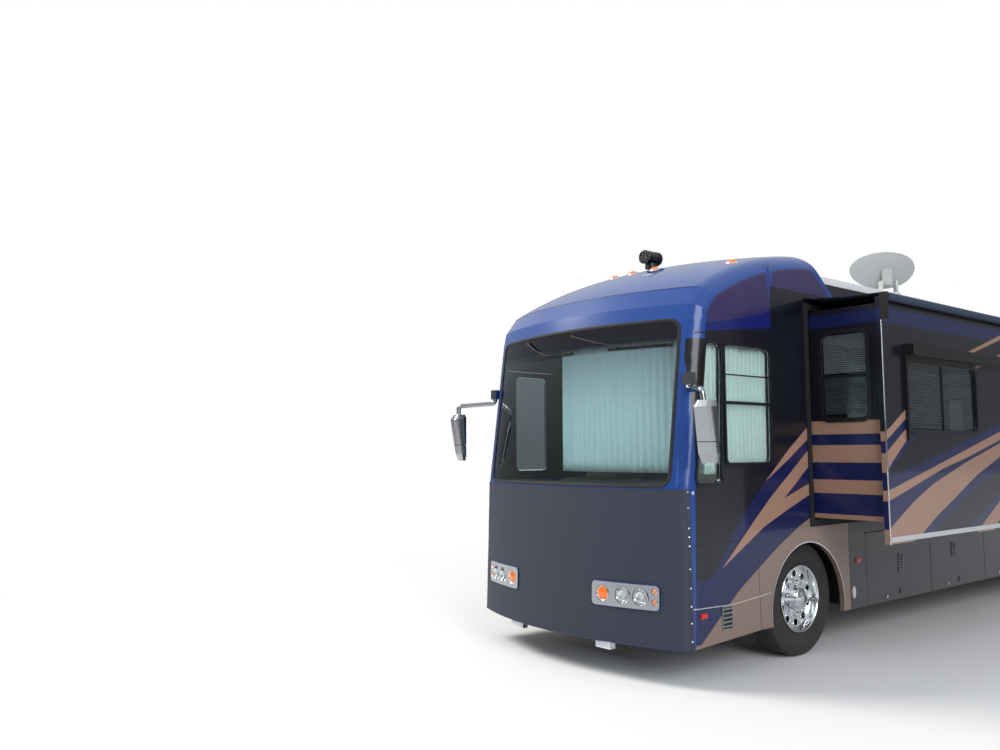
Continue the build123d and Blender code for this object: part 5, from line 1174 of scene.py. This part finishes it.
# %% Mirror glass and joints
root_r = skin_radius(2.441)
mirror_y = bow_y - math.sqrt(root_r ** 2 - half_width ** 2) - 0.042 - 0.240
mirror_plates, mirror_joints = Shape(), Shape()
for side, toe in ((1, 6.0), (-1, -15.0)):
    turn_by = Matrix.Rotation(math.radians(toe), 4, "Z")

    def head_point(x, y, z):
        return Vector((side * 1.605, mirror_y, z)) + turn_by @ Vector((x, y, 0))

    for low, high in ((1.800, 1.905), (1.935, 2.215)):
        for depth, grow, mark in ((0.0655, 0.007, 1), (0.0675, 0.0, 0)):
            rim = frame_path(0, (low + high) / 2, 0.066 + grow, (high - low) / 2 + grow, 0.016)
            front = [head_point(x, depth, z) for x, z in rim]
            back = [head_point(x, depth - 0.004, z) for x, z in rim]
            mirror_plates.patch([back, front], mark, closed=True)
            mirror_plates.add(front, [list(range(len(front)))], mark)
    ring = frame_path(0, 0, 0.0849, 0.0424, 0.022)
    rows = [[head_point(x, 0.0234 + y, 1.922 + dz) for x, y in ring] for dz in (-0.003, 0.003)]
    mirror_joints.patch(rows, closed=True)
mirror_glass = mirror_plates.make("mirror_glass", [finishes["chrome"], finishes["black_trim"]],
                                  slot="chrome")
mirror_seams = mirror_joints.make("mirror_joints", finishes["black_trim"], slot="black_trim", closed=False)
made(mirror_glass, mirror_seams)

# %% [markdown]
# Behind the windshield and the driver's windows hang pleated curtains. A pleated curtain is a
# sheet that was cut much wider than its track: its plan is a wave, tight where the curtain is
# drawn back and open where it is spread, and the wave loosens a little towards the hem. Cloth
# simulation would need many steps to fold so much spare width, and a wave gives it at once.

# %% Folds of a curtain
def fold_phases(stations, wave):
    """Phase of the folds at each station of a track, so that a fold's width may change on the way."""
    phases, phase, last = [], 0.0, 0.0
    for along in stations:
        phase += 2 * math.pi * (along - last) / wave(along)
        last = along
        phases.append(phase)
    return phases


def pleated(track, low, high, wave, depth, seed):
    """A curtain on a track of (point, outward direction, place along it), with folds that vary a little."""
    levels = 14
    phases = fold_phases([along for spot, out, along in track], wave)
    rows = []
    for i in range(levels + 1):
        z = high + (low - high) * i / levels
        row = []
        for (spot, out, along), phase in zip(track, phases):
            drift = field_noise.noise(Vector((along * 2.1, seed, z * 0.5))) * 0.9
            swell = depth * (0.62 + 0.38 * min(1.0, (high - z) / 0.5))
            swell *= 0.8 + 0.25 * field_noise.noise(Vector((along * 5, seed + 4, 0)))
            row.append(Vector((spot.x, spot.y, z)) + out * (swell * math.sin(phase + drift)))
        rows.append(row)
    return rows


def cloth_piece(name, rows, finish, replaced, body="root"):
    shape = Shape().patch(rows)
    obj = shape.make(name, finish, body, slot="curtain", smooth=80, closed=False)
    skin = obj.modifiers.new("cloth_thickness", "SOLIDIFY")
    skin.thickness, skin.offset = 0.001, 0.0
    if replaced:
        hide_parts(replaced)
    return obj


# %% The windshield's curtain
def front_wave(along):
    """Width of a fold: narrow where the curtain is drawn back, wide where it is spread."""
    return 0.030 if along < 0.18 else 0.072


curtain_hem = 1.66
track_r = 2.46
curtain_first, curtain_sweep = -13.2, 39.2
front_track = []
for k in range(361):
    angle = math.radians(curtain_first + curtain_sweep * k / 360)
    out = Vector((math.sin(angle), -math.cos(angle), 0))
    along = round(math.radians(curtain_sweep * k / 360) * track_r, 5)
    front_track.append((Vector((0, bow_y, 0)) + out * track_r, out, along))
front_rows = pleated(front_track, curtain_hem, 2.848, front_wave, 0.0125, 2.0)
front_curtain = cloth_piece("windshield_curtain", front_rows, finishes["curtain"], "curtains")
made(front_curtain)


# %% The driver's curtain and its rail
side_fold, side_track_long = 0.058, 0.92
side_track = []
for k in range(161):
    y = axle_y - 1.36 + side_track_long * k / 160
    side_track.append((Vector((1.2345, y, 0)), Vector((1, 0, 0)), round(side_track_long * k / 160, 5)))
side_rows = pleated(side_track, curtain_hem, 2.765, lambda along: side_fold, 0.0115, 7.0)
driver_curtain = cloth_piece("driver_curtain", side_rows, finishes["curtain"], "curtains")
rail = Shape()
rail.tube([spot + Vector((0, 0, 2.772)) - Vector((0.008, 0, 0)) for spot, out, along in side_track[::16]],
          0.006, 8)
side_rail = rail.make("driver_curtain_rail", finishes["chrome"], slot="chrome")
made(driver_curtain, side_rail)

# %% [markdown]
# The cab seats are leather over foam: a crowned squab and back with rolled sides, a headrest
# and two arms. They could be blown up by a cloth simulation, but they stand in the shade behind
# glass, so each pad is a grid pushed out to a soft pillow, which is quick and always the same.

# %% Cab seats
def pillow(shape, centre, half, lean=0.0, crown=0.025, n=9):
    """A crowned, round-edged pad: a block's surface pulled towards a superellipsoid."""
    tilt = Matrix.Rotation(math.radians(lean), 3, "X")
    for axis in range(3):
        for sign in (1, -1):
            rows = []
            for i in range(n + 1):
                row = []
                for j in range(n + 1):
                    p = [0.0, 0.0, 0.0]
                    p[axis] = sign
                    p[(axis + 1) % 3] = (2 * i / n - 1) * sign
                    p[(axis + 2) % 3] = 2 * j / n - 1
                    power = 5.0
                    size = sum(abs(v) ** power for v in p) ** (1 / power)
                    q = [v / size for v in p]
                    thin = min(range(3), key=lambda a: half[a])
                    others = [a for a in range(3) if a != thin]
                    dome = (1 - q[others[0]] ** 2) * (1 - q[others[1]] ** 2)
                    spot = Vector(tuple(q[a] * half[a] for a in range(3)))
                    spot[thin] += math.copysign(crown * dome, spot[thin]) * (abs(q[thin]) > 0.5)
                    row.append(Vector(centre) + tilt @ spot)
                rows.append(row)
            shape.patch(rows)


for seat_name, seat_x, seat_y in (("driver_seat", 0.62, axle_y - 0.62),
                                  ("passenger_seat", -0.62, axle_y - 0.43)):
    pads = Shape()
    pillow(pads, (seat_x, seat_y - 0.01, 1.628), (0.262, 0.252, 0.070), crown=0.014)
    pillow(pads, (seat_x, seat_y + 0.318, 2.00), (0.252, 0.066, 0.335), lean=-10, crown=0.020)
    pillow(pads, (seat_x, seat_y + 0.385, 2.385), (0.150, 0.055, 0.085), lean=-10, crown=0.012)
    for arm in (-0.28, 0.28):
        pillow(pads, (seat_x + arm, seat_y + 0.07, 1.870), (0.035, 0.245, 0.032), crown=0.004)
    seat = pads.make(seat_name, finishes["seat_leather"], slot="seat_leather", smooth=70)
    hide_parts("seat_cushions")
    made(seat)

# %% [markdown]
# Over each slide room a fabric topper runs from a rail on the wall out to a spring roller. When
# the room goes in the roller takes the cloth up. Cloth that rolls up can't follow one body or the
# other, so the piece rides on the root, laid as it hangs with the room out.

# %% Slide toppers
roll_x, roll_z, roll_r = 2.060, 3.195, 0.035
rail_x, rail_z = 1.3090, 3.280
topper_spans = {"street": (1, axle_y + 0.17 - 0.025, axle_y + 4.87 + 0.025),
                "curb": (-1, 1.10 - 0.025, 4.40 + 0.025)}
for room, (side, y0, y1) in topper_spans.items():
    rows = []
    for i in range(25):
        share = i / 24
        x = rail_x + (roll_x - rail_x) * share
        straight = rail_z - 0.003 + (roll_z + roll_r + 0.004 - rail_z + 0.003) * share
        row = []
        for j in range(81):
            y = y0 + (y1 - y0) * j / 80
            sag = -0.007 * math.sin(math.pi * share) * (1 + 0.35 * math.sin(j * 0.9 + side))
            sag += 0.0015 * field_noise.noise(Vector((x * 9, y * 2.2, 5.0)))
            edge = min(1.0, share * 8, (1 - share) * 8)
            row.append(Vector((side * x, y, straight + sag * edge)))
        rows.append(row)
    drop = []
    for k in range(1, 9):
        a = math.radians(k * 20)
        drop.append([Vector((side * (roll_x + (roll_r + 0.003) * math.sin(a)), y0 + (y1 - y0) * j / 80,
                             roll_z + (roll_r + 0.003) * math.cos(a))) for j in range(81)])
    topper = Shape().patch(rows + drop).make(f"topper_cloth_{room}", finishes["topper_cloth"], "root",
                                             slot="topper_cloth", smooth=80, closed=False)
    skin = topper.modifiers.new("cloth_thickness", "SOLIDIFY")
    skin.thickness, skin.offset = 0.001, 0.0
    bpy.context.view_layer.update()
    solid = bpy.data.meshes.new_from_object(topper.evaluated_get(bpy.context.evaluated_depsgraph_get()))
    topper.modifiers.clear()
    topper.data = solid
    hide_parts(f"topper_{room}")
    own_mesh(topper)
    made(topper)

# %% [markdown]
# Wheels are what the eye checks first. The rims are polished forgings with ten hand holes; ten
# chromed nuts hold each, and a hub cover sits in the middle. The nuts are one ring of repeated
# heads, and the thin rolled lips round the rim and the holes are turned profiles, because a
# sharp edge on polished metal gives away a plain solid.

# %% Wheel nuts, hub covers and rim lips
wheel_spots = {"wheel_front_street": (1, axle_y, 1.167), "wheel_front_curb": (-1, axle_y, 1.167),
               "wheels_rear_street": (1, rear_axle_y, 0.960), "wheels_rear_curb": (-1, rear_axle_y, 0.960)}
bolt_circle_r, hand_hole_circle_r = 0.1425, 0.218
rim_edge_x = 1.105 + 0.108
for body, (side, y, disc_x) in wheel_spots.items():
    spots = []
    for k in range(10):
        a = 2 * math.pi * (k + 0.5) / 10
        place = Vector((side * (disc_x + 0.012), y + bolt_circle_r * math.cos(a),
                        tyre_r + bolt_circle_r * math.sin(a)))
        spots.append((place, (side, 0, 0)))
    nuts = heads(f"{body}_nuts", spots, 0.0185, 0.0165, 0.028, 6, finishes["chrome"], body)
    lip = Shape()
    lip.turned((side * rim_edge_x, y, tyre_r), (side, 0, 0),
               [(-0.012, 0.288), (0.006, 0.299), (0.012, 0.301), (0.015, 0.297), (0.012, 0.291),
                (0.002, 0.284), (-0.020, 0.276), (-0.040, 0.2715)], 72)
    hub_x = 1.237 if "front" in body else 1.165
    hub_r = 0.092 if "front" in body else 0.112
    lip.turned((side * hub_x, y, tyre_r), (side, 0, 0),
               [(0.0, hub_r), (0.004, hub_r - 0.003), (0.006, hub_r - 0.010), (0.006, hub_r * 0.55),
                (0.010, hub_r * 0.50), (0.011, hub_r * 0.2), (0.011, 0.0)], 48)
    lip.turned((side * (disc_x - 0.001), y, tyre_r), (side, 0, 0),
               [(0.0, 0.178), (0.005, 0.176), (0.006, 0.168), (0.002, 0.162), (0.0, 0.16)], 60)
    for k in range(10):
        a = 2 * math.pi * k / 10
        centre = Vector((side * (disc_x + 0.0005), y + hand_hole_circle_r * math.cos(a),
                         tyre_r + hand_hole_circle_r * math.sin(a)))
        lip.turned(centre, (side, 0, 0), [(-0.014, 0.0299), (0.0, 0.0302), (0.0018, 0.0325), (0.0, 0.0350)],
                   20)
    lips = lip.make(f"{body}_rim_edges", finishes["polished"], body, "polished", smooth=50, closed=False)
    made(nuts, lips)

# %% [markdown]
# Now the small things a coach is covered with. The windows get their rails and, behind the
# glass, slat blinds. One Geometry Nodes tree hangs any blind: it repeats a thin slat down a
# line, turns the slats a little, and turns the whole blind to face its window. A striped
# material would be cheaper, but slats throw their own shade and let the light through.

# %% The tree of slat blinds
blind_tree = bpy.data.node_groups.new("slat_blind", "GeometryNodeTree")
blind_sockets = {}
for label, kind in (("Corner", "NodeSocketVector"), ("Width", "NodeSocketFloat"),
                    ("Slats", "NodeSocketInt"), ("Pitch", "NodeSocketFloat"), ("Depth", "NodeSocketFloat"),
                    ("Tilt", "NodeSocketFloat"), ("Turn", "NodeSocketFloat"), ("Seed", "NodeSocketInt"),
                    ("Finish", "NodeSocketMaterial")):
    blind_sockets[label] = blind_tree.interface.new_socket(label, in_out="INPUT",
                                                           socket_type=kind).identifier
blind_tree.interface.new_socket("Blind", in_out="OUTPUT", socket_type="NodeSocketGeometry")
bl_in, bl_out = blind_tree.nodes.new("NodeGroupInput"), blind_tree.nodes.new("NodeGroupOutput")
bl_line = blind_tree.nodes.new("GeometryNodeMeshLine")
bl_drop = blind_tree.nodes.new("ShaderNodeCombineXYZ")
bl_down = blind_tree.nodes.new("ShaderNodeMath")
bl_down.operation = "MULTIPLY"
bl_down.inputs[1].default_value = -1.0
bl_slat = blind_tree.nodes.new("GeometryNodeMeshCube")
bl_size = blind_tree.nodes.new("ShaderNodeCombineXYZ")
bl_size.inputs["Z"].default_value = 0.0008
bl_jog = blind_tree.nodes.new("FunctionNodeRandomValue")
bl_jog.data_type = "FLOAT"
bl_jog.inputs[2].default_value, bl_jog.inputs[3].default_value = -0.06, 0.06
bl_tilt = blind_tree.nodes.new("ShaderNodeMath")
bl_tilt.operation = "ADD"
bl_lean = blind_tree.nodes.new("ShaderNodeCombineXYZ")
bl_put = blind_tree.nodes.new("GeometryNodeInstanceOnPoints")
bl_real = blind_tree.nodes.new("GeometryNodeRealizeInstances")
bl_place = blind_tree.nodes.new("GeometryNodeTransform")
bl_spin = blind_tree.nodes.new("ShaderNodeCombineXYZ")
bl_finish = blind_tree.nodes.new("GeometryNodeSetMaterial")
for out, into in ((bl_in.outputs["Slats"], bl_line.inputs["Count"]),
                  (bl_in.outputs["Pitch"], bl_down.inputs[0]), (bl_down.outputs[0], bl_drop.inputs["Z"]),
                  (bl_drop.outputs[0], bl_line.inputs["Offset"]),
                  (bl_in.outputs["Depth"], bl_size.inputs["X"]),
                  (bl_in.outputs["Width"], bl_size.inputs["Y"]),
                  (bl_size.outputs[0], bl_slat.inputs["Size"]),
                  (bl_line.outputs["Mesh"], bl_put.inputs["Points"]),
                  (bl_slat.outputs["Mesh"], bl_put.inputs["Instance"]),
                  (bl_in.outputs["Seed"], bl_jog.inputs["Seed"]), (bl_jog.outputs[1], bl_tilt.inputs[0]),
                  (bl_in.outputs["Tilt"], bl_tilt.inputs[1]), (bl_tilt.outputs[0], bl_lean.inputs["Y"]),
                  (bl_lean.outputs[0], bl_put.inputs["Rotation"]),
                  (bl_put.outputs["Instances"], bl_real.inputs["Geometry"]),
                  (bl_real.outputs["Geometry"], bl_place.inputs["Geometry"]),
                  (bl_in.outputs["Turn"], bl_spin.inputs["Z"]),
                  (bl_spin.outputs[0], bl_place.inputs["Rotation"]),
                  (bl_in.outputs["Corner"], bl_place.inputs["Translation"]),
                  (bl_place.outputs["Geometry"], bl_finish.inputs["Geometry"]),
                  (bl_in.outputs["Finish"], bl_finish.inputs["Material"]),
                  (bl_finish.outputs["Geometry"], bl_out.inputs["Blind"])):
    blind_tree.links.new(out, into)
print("tree of blinds:", len(blind_tree.nodes), "nodes")

# %% A blind for one window
def blind(name, centre, width, top, low, body, turn=0.0, tilt=0.5, finish=None):
    """A slat blind that hangs from top to low, made a plain mesh."""
    obj = bpy.data.objects.new(name, bpy.data.meshes.new(name))
    scene.collection.objects.link(obj)
    nodes_on = obj.modifiers.new("blind", "NODES")
    nodes_on.node_group = blind_tree
    pitch = 0.0195
    for label, value in (("Corner", (centre[0], centre[1], top)), ("Width", width),
                         ("Slats", int((top - low) / pitch)), ("Pitch", pitch), ("Depth", 0.0155),
                         ("Tilt", tilt), ("Turn", turn), ("Seed", len(name)), ("Finish", finish)):
        nodes_on[blind_sockets[label]] = value
    plain = bpy.data.meshes.new_from_object(obj.evaluated_get(bpy.context.evaluated_depsgraph_get()))
    obj.modifiers.clear()
    obj.data = plain
    plain.name = name
    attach(obj, body)
    return obj


# %% Blinds in the windows
slats = finish_of("blind_slats", paint(206, 206, 202), 0.55, vary=0.03)
# The darker copy of the slats is painted shade, used for the lower end blind and the blinds in the slide
# room's face.
slats_painted_shade = finish_of("blind_slats_in_painted_shade", paint(128, 133, 140), 0.6, vary=0.03)
end_spot, end_wide, end_turn = (1.6365, -3.932), 0.42, math.radians(90)
blinds = [blind("blind_end_high", end_spot, end_wide, 2.895, 2.53, "slide_street", end_turn, 0.9, slats),
          blind("blind_end_low", end_spot, end_wide, 2.50, 2.16, "slide_street", end_turn, 0.9, slats_painted_shade)]
for name, x, y0, y1, z0, z1, body in (("face_front", 1.984, -3.558, -2.165, 2.033, 2.640, "slide_street"),
                                      ("face_rear", 1.984, -1.235, 0.065, 2.033, 2.640, "slide_street"),
                                      ("curb_face", -1.984, 1.700, 3.300, 2.033, 2.640, "slide_curb"),
                                      ("wall_rear", 1.262, 3.400, 4.700, 2.050, 2.750, "root"),
                                      ("wall_mid", 1.262, 1.250, 2.100, 2.150, 2.750, "root"),
                                      ("curb_rear", -1.262, 4.750, 5.350, 2.150, 2.750, "root"),
                                      ("curb_mid", -1.262, -1.950, -0.550, 2.050, 2.750, "root"),
                                      ("curb_front", -1.262, -3.700, -2.500, 1.950, 2.750, "root")):
    blinds.append(blind(f"blind_{name}", (x, (y0 + y1) / 2), y1 - y0 - 0.012, z1 - 0.012, z0 + 0.006, body,
                        0.0 if x > 0 else math.pi, 0.75, slats_painted_shade if name.startswith("face") else slats))
print("blinds:", len(blinds))

# %% Rails and dividers of the windows
rails = {"root": Shape(), "slide_street": Shape(), "slide_curb": Shape()}
rails["root"].block(1.2813, 1.2905, -5.262, -4.614, 2.492, 2.504)
rails["root"].block(1.2813, 1.2925, -5.262, -4.614, 2.245, 2.273)
rails["slide_street"].block(1.422, 1.851, -3.9640, -3.9573, 2.505, 2.535)
for body, side, spans in (("slide_street", 1, ((-3.558, -2.165), (-1.235, 0.065))),
                          ("slide_curb", -1, ((1.7, 3.3),))):
    for y0, y1 in spans:
        middle = (y0 + y1) / 2
        rails[body].block(side * 2.0063, side * 2.0160, middle - 0.014, middle + 0.014, 2.036, 2.637)
for side, y0, y1, z0, z1 in ((1, 3.4, 4.7, 2.05, 2.75), (1, 1.25, 2.1, 2.15, 2.75),
                             (-1, 4.75, 5.35, 2.15, 2.75), (-1, -1.95, -0.55, 2.05, 2.75),
                             (-1, -3.7, -2.5, 1.95, 2.75)):
    middle = (y0 + y1) / 2
    rails["root"].block(side * 1.2813, side * 1.2905, middle - 0.012, middle + 0.012, z0 + 0.003,
                        z1 - 0.003)
window_rails = [shape.make(f"window_rails_{body}", finishes["black_trim"], body, "black_trim", bevel=0.0015)
                for body, shape in rails.items()]
made(*window_rails)

# %% [markdown]
# Bright and dark lines follow: the edge strip and the lower rail of the slide room, drip gutters
# over the cab windows, the bead round the wheel arch, the joints between moulded panels, and a
# dark strip along the brow's crease, which is painted shade. They could be painted, but a bead
# catches light and a joint holds shade, so each is a thin strip laid along its line on the skin.

# %% Slide room strips
for room, side, y0, y1 in (("street", 1, axle_y + 0.12, axle_y + 4.92), ("curb", -1, 1.05, 4.45)):
    strips = Shape()
    face = side * 2.0203
    for edge in (y0 + 0.0010, y1 - 0.0190):
        strips.block(face, face + side * 0.0065, edge, edge + 0.018, 1.046, 2.990)
    strips.block(face, face + side * 0.0100, y0 + 0.022, y1 - 0.022, 1.064, 1.108)
    strips.block(face + side * 0.0100, face + side * 0.0125, y0 + 0.022, y1 - 0.022, 1.080, 1.092)
    edge_strips = strips.make(f"slide_strips_{room}", finishes["chrome"], f"slide_{room}", "chrome",
                              bevel=0.002)
    made(edge_strips)

# %% Tools for lines on the body's side
joint_and_crease_shade_strips, trim_bright, trim_black = Shape(), Shape(), Shape()


def on_side(rel, z, side=1, proud=0.0005):
    """A point on the body's side at a station behind the front axle, also where it turns into the nose."""
    spot, facing = wrap_point(side * run_to(axle_y + rel, z), z, proud)
    return spot


def ribbon(shape, line, half, side=1, proud=0.0009, mark=0):
    """A flat strip laid along a line of (station, height) points on the side."""
    rows = [[], [], [], []]
    for i, (rel, z) in enumerate(line):
        (r0, z0), (r1, z1) = line[max(i - 1, 0)], line[min(i + 1, len(line) - 1)]
        away = Vector((-(z1 - z0), r1 - r0)).normalized() * half
        for row, sign, lift in zip(rows, (-1, -1, 1, 1), (-0.001, proud, proud, -0.001)):
            row.append(on_side(rel + away.x * sign, z + away.y * sign, side, lift))
    shape.patch(rows, mark)


def even_line(points, step=0.04):
    out = []
    for (r0, z0), (r1, z1) in zip(points, points[1:]):
        count = max(1, int(math.hypot(r1 - r0, z1 - z0) / step))
        out += [(r0 + (r1 - r0) * k / count, z0 + (z1 - z0) * k / count) for k in range(count)]
    return out + [points[-1]]


def arch_line(shift, radius, centre_z, low_z):
    """Points round a wheel arch, from one foot to the other."""
    out = []
    for k in range(61):
        a = math.radians(180 - 180 * k / 60)
        out.append((shift + radius * math.cos(a), centre_z + radius * math.sin(a)))
    return [(shift - radius, low_z)] + out + [(shift + radius, low_z)]


# %% Laying the joints, the crease's painted shade, gutters and beads
arch_forward, arch_z, arch_r, arch_foot = 0.045, 0.430, 0.590, 0.345
for side in (1, -1):
    for rel, low, high in ((-0.445, 2.872, 3.575), (0.748, 0.30, 1.045)):
        ribbon(joint_and_crease_shade_strips, even_line([(rel, low), (rel, high)]), 0.0022, side)
    ribbon(joint_and_crease_shade_strips, even_line([(-0.705, 0.30), (-0.728, 0.86)]), 0.0022, side)
    ribbon(joint_and_crease_shade_strips, even_line([(-1.640, 1.098), (-1.005, 1.104)]), 0.0025, side)
    ribbon(trim_black, even_line([(-1.456, 2.828), (-0.452, 2.855)]), 0.0060, side, 0.0070)
    ribbon(trim_bright, even_line([(-1.670, 0.606), (-1.12, 0.589), (-0.543, 0.627)]), 0.0035, side, 0.0022)
    for shift in (arch_forward, rear_axle_y - axle_y):
        ribbon(trim_bright, arch_line(shift, arch_r, arch_z, arch_foot), 0.0045, side, 0.0030)
# The dark strip along the brow's crease is painted shade.
crease = [run_of(1.20, 3.245) * (k / 60 - 1) for k in range(121)]
crease_edges = ((3.2395, -0.001), (3.2395, 0.0010), (3.2446, 0.0010), (3.2446, -0.001))
joint_and_crease_shade_strips.patch([[wrap_point(r, z, d)[0] for r in crease] for z, d in crease_edges])
joints_and_crease_shade = joint_and_crease_shade_strips.make("joints_and_crease_shade", finishes["black_trim"], slot="black_trim", closed=False)
gutters = trim_black.make("cab_gutters", finishes["black_trim"], slot="black_trim", closed=False)
bright_beads = trim_bright.make("bright_beads", finishes["chrome"], slot="chrome", closed=False)
made(joints_and_crease_shade, gutters, bright_beads)

# %% [markdown]
# Vents, locks and small plates break up the large plain panels and give them their scale. Each
# vent is a rim with sloped blades over a dark plate, which is painted shade for the opening
# behind them, so that it looks right from any height. A picture of slits would look flat as soon
# as the view moves. The oval plates are plain domes.

# %% Vents, locks and small plates
vents = Shape()
vent_grey = finish_of("vent_blades", paint(118, 120, 126), 0.5, bump=0.1)


def vent(side, rel, z, half_w, half_h, slits, body_x=half_width):
    """A framed louvre: a rim and sloped blades over a dark plate, which is painted shade."""
    x = side * (body_x + 0.0005)
    y = axle_y + rel
    # The dark plate behind the blades is painted shade of the opening.
    vents.block(x, x + side * 0.0012, y - half_w, y + half_w, z - half_h, z + half_h, mark=1)
    for y0, y1, z0, z1 in ((-half_w, half_w, half_h - 0.007, half_h),
                           (-half_w, half_w, -half_h, -half_h + 0.007),
                           (-half_w, -half_w + 0.007, -half_h, half_h),
                           (half_w - 0.007, half_w, -half_h, half_h)):
        vents.block(x, x + side * 0.0065, y + y0, y + y1, z + z0, z + z1)
    for k in range(slits):
        middle = z - half_h + 0.007 + (2 * half_h - 0.014) * (k + 0.5) / slits
        corners = [(x + side * 0.0012, y + e, middle + 0.005) for e in (-half_w + 0.007, half_w - 0.007)]
        corners += [(x + side * 0.0058, y + e, middle - 0.004) for e in (half_w - 0.007, -half_w + 0.007)]
        vents.add(corners, [(0, 1, 2, 3)])
        vents.add([(cx, cy, cz + 0.0012) for cx, cy, cz in corners], [(3, 2, 1, 0)])


vent(1, -1.18, 0.492, 0.068, 0.094, 5)
vent(1, 1.745, 0.698, 0.045, 0.091, 6, 1.2955)
vent(1, 2.957, 0.743, 0.045, 0.075, 5, 1.2955)
vent(-1, 2.40, 0.698, 0.045, 0.091, 6, 1.2955)
vent(-1, 6.05, 0.66, 0.16, 0.10, 8)
vent(1, 6.05, 0.66, 0.16, 0.10, 8)
body_vents = vents.make("body_vents", [vent_grey, finishes["black_trim"]], slot="gear_white", closed=False)
plates = Shape()
round_steps = [2 * math.pi * n / 28 for n in range(28)]
for side in (1, -1):
    oval = []
    for grow, deep in ((1.0, 0.0), (1.0, 0.0035), (0.86, 0.0055), (0.62, 0.0035), (0.0, 0.0030)):
        oval.append([(side * (half_width + 0.0004 + deep), axle_y + 0.807 + 0.032 * grow * math.cos(a),
                      0.492 + 0.062 * grow * math.sin(a)) for a in round_steps])
    plates.patch(oval, closed=True)
    for i in range(3):
        lock_y, lock_x = axle_y + 1.056 + (i + 0.5) * 1.352, side * (half_width + 0.0085)
        plates.turned((lock_x, lock_y - 0.30, 0.384), (side, 0, 0),
                      [(0, 0.015), (0.003, 0.0145), (0.004, 0.010), (0.0035, 0.004), (0.0035, 0.0)], 20)
door_locks = plates.make("bright_plates", finishes["chrome"], slot="chrome", closed=False)
tab_side = on_side(-1.585, 1.520, 1, 0.0030)
tab = Shape().block(tab_side.x - 0.001, tab_side.x + 0.0035, tab_side.y, tab_side.y + 0.062, 1.506, 1.530)
cover_tab = tab.make("cover_tab", finishes["gear_white"], slot="gear_white", bevel=0.001)
made(body_vents, door_locks, cover_tab)

# %% [markdown]
# On the roof the searchlight gets its lens and cooling rings and the air conditioners their
# louvres. At the tail the engine door gets its grille, and the entry door its pull handle. All
# are small bars and rings on solids that the CAD already has, so they need no modelling twice.

# %% Gear on the roof
gear = Shape()
search_x, search_y = 0.060, axle_y - 0.610
search_z = dome_height(abs(search_y - bow_y + 0.060)) + 0.108
gear.turned((search_x, search_y - 0.1006, search_z), (0, -1, 0),
            [(-0.002, 0.0687), (0.005, 0.0687), (0.006, 0.060), (0.001, 0.058), (0.0005, 0.0)], 36, mark=1)
for k in range(5):
    gear.turned((search_x, search_y + 0.035 + 0.014 * k, search_z), (0, 1, 0),
                [(-0.003, 0.0683), (-0.002, 0.0705), (0.002, 0.0705), (0.003, 0.0683)], 36)
for y0 in (axle_y + 1.45, rear_axle_y - 0.415):
    for k in range(9):
        z = 3.668 + 0.014 * k
        for side in (1, -1):
            gear.block(side * 0.3490, side * 0.3520, y0 - 0.34, y0 + 0.30, z, z + 0.006, mark=2)
search_parts = gear.make("roof_gear_trim", [finishes["black_trim"], finishes["lens_glass"],
                                            finishes["gear_white"]], slot="black_trim", closed=False)
made(search_parts)

# %% The tail and the entry side
tail_parts = Shape()
blade = ((0.0, 0.012, (-0.50, 0.50)), (0.010, -0.006, (0.50, -0.50)))
for k in range(14):
    z = 0.70 + 0.030 * k
    corners = [(x, tail_y + 0.0125 + d, z + dz) for d, dz, xs in blade for x in xs]
    tail_parts.add(corners, [(0, 1, 2, 3)])
    tail_parts.add([(cx, cy, cz + 0.0015) for cx, cy, cz in corners], [(3, 2, 1, 0)])
louvres = tail_parts.make("engine_door_louvres", finishes["black_trim"], "engine_door", "black_trim",
                          closed=False)
handle = Shape()
handle.tube([(-1.299, axle_y - 0.80, 1.32), (-1.332, axle_y - 0.80, 1.32), (-1.332, axle_y - 0.80, 1.46),
             (-1.299, axle_y - 0.80, 1.46)], 0.009, 10)
handle.block(-1.2955, -1.3010, axle_y - 0.825, axle_y - 0.775, 1.28, 1.50)
entry_handle = handle.make("entry_handle", finishes["chrome"], "entry_door", "chrome", bevel=0.002)
made(louvres, entry_handle)
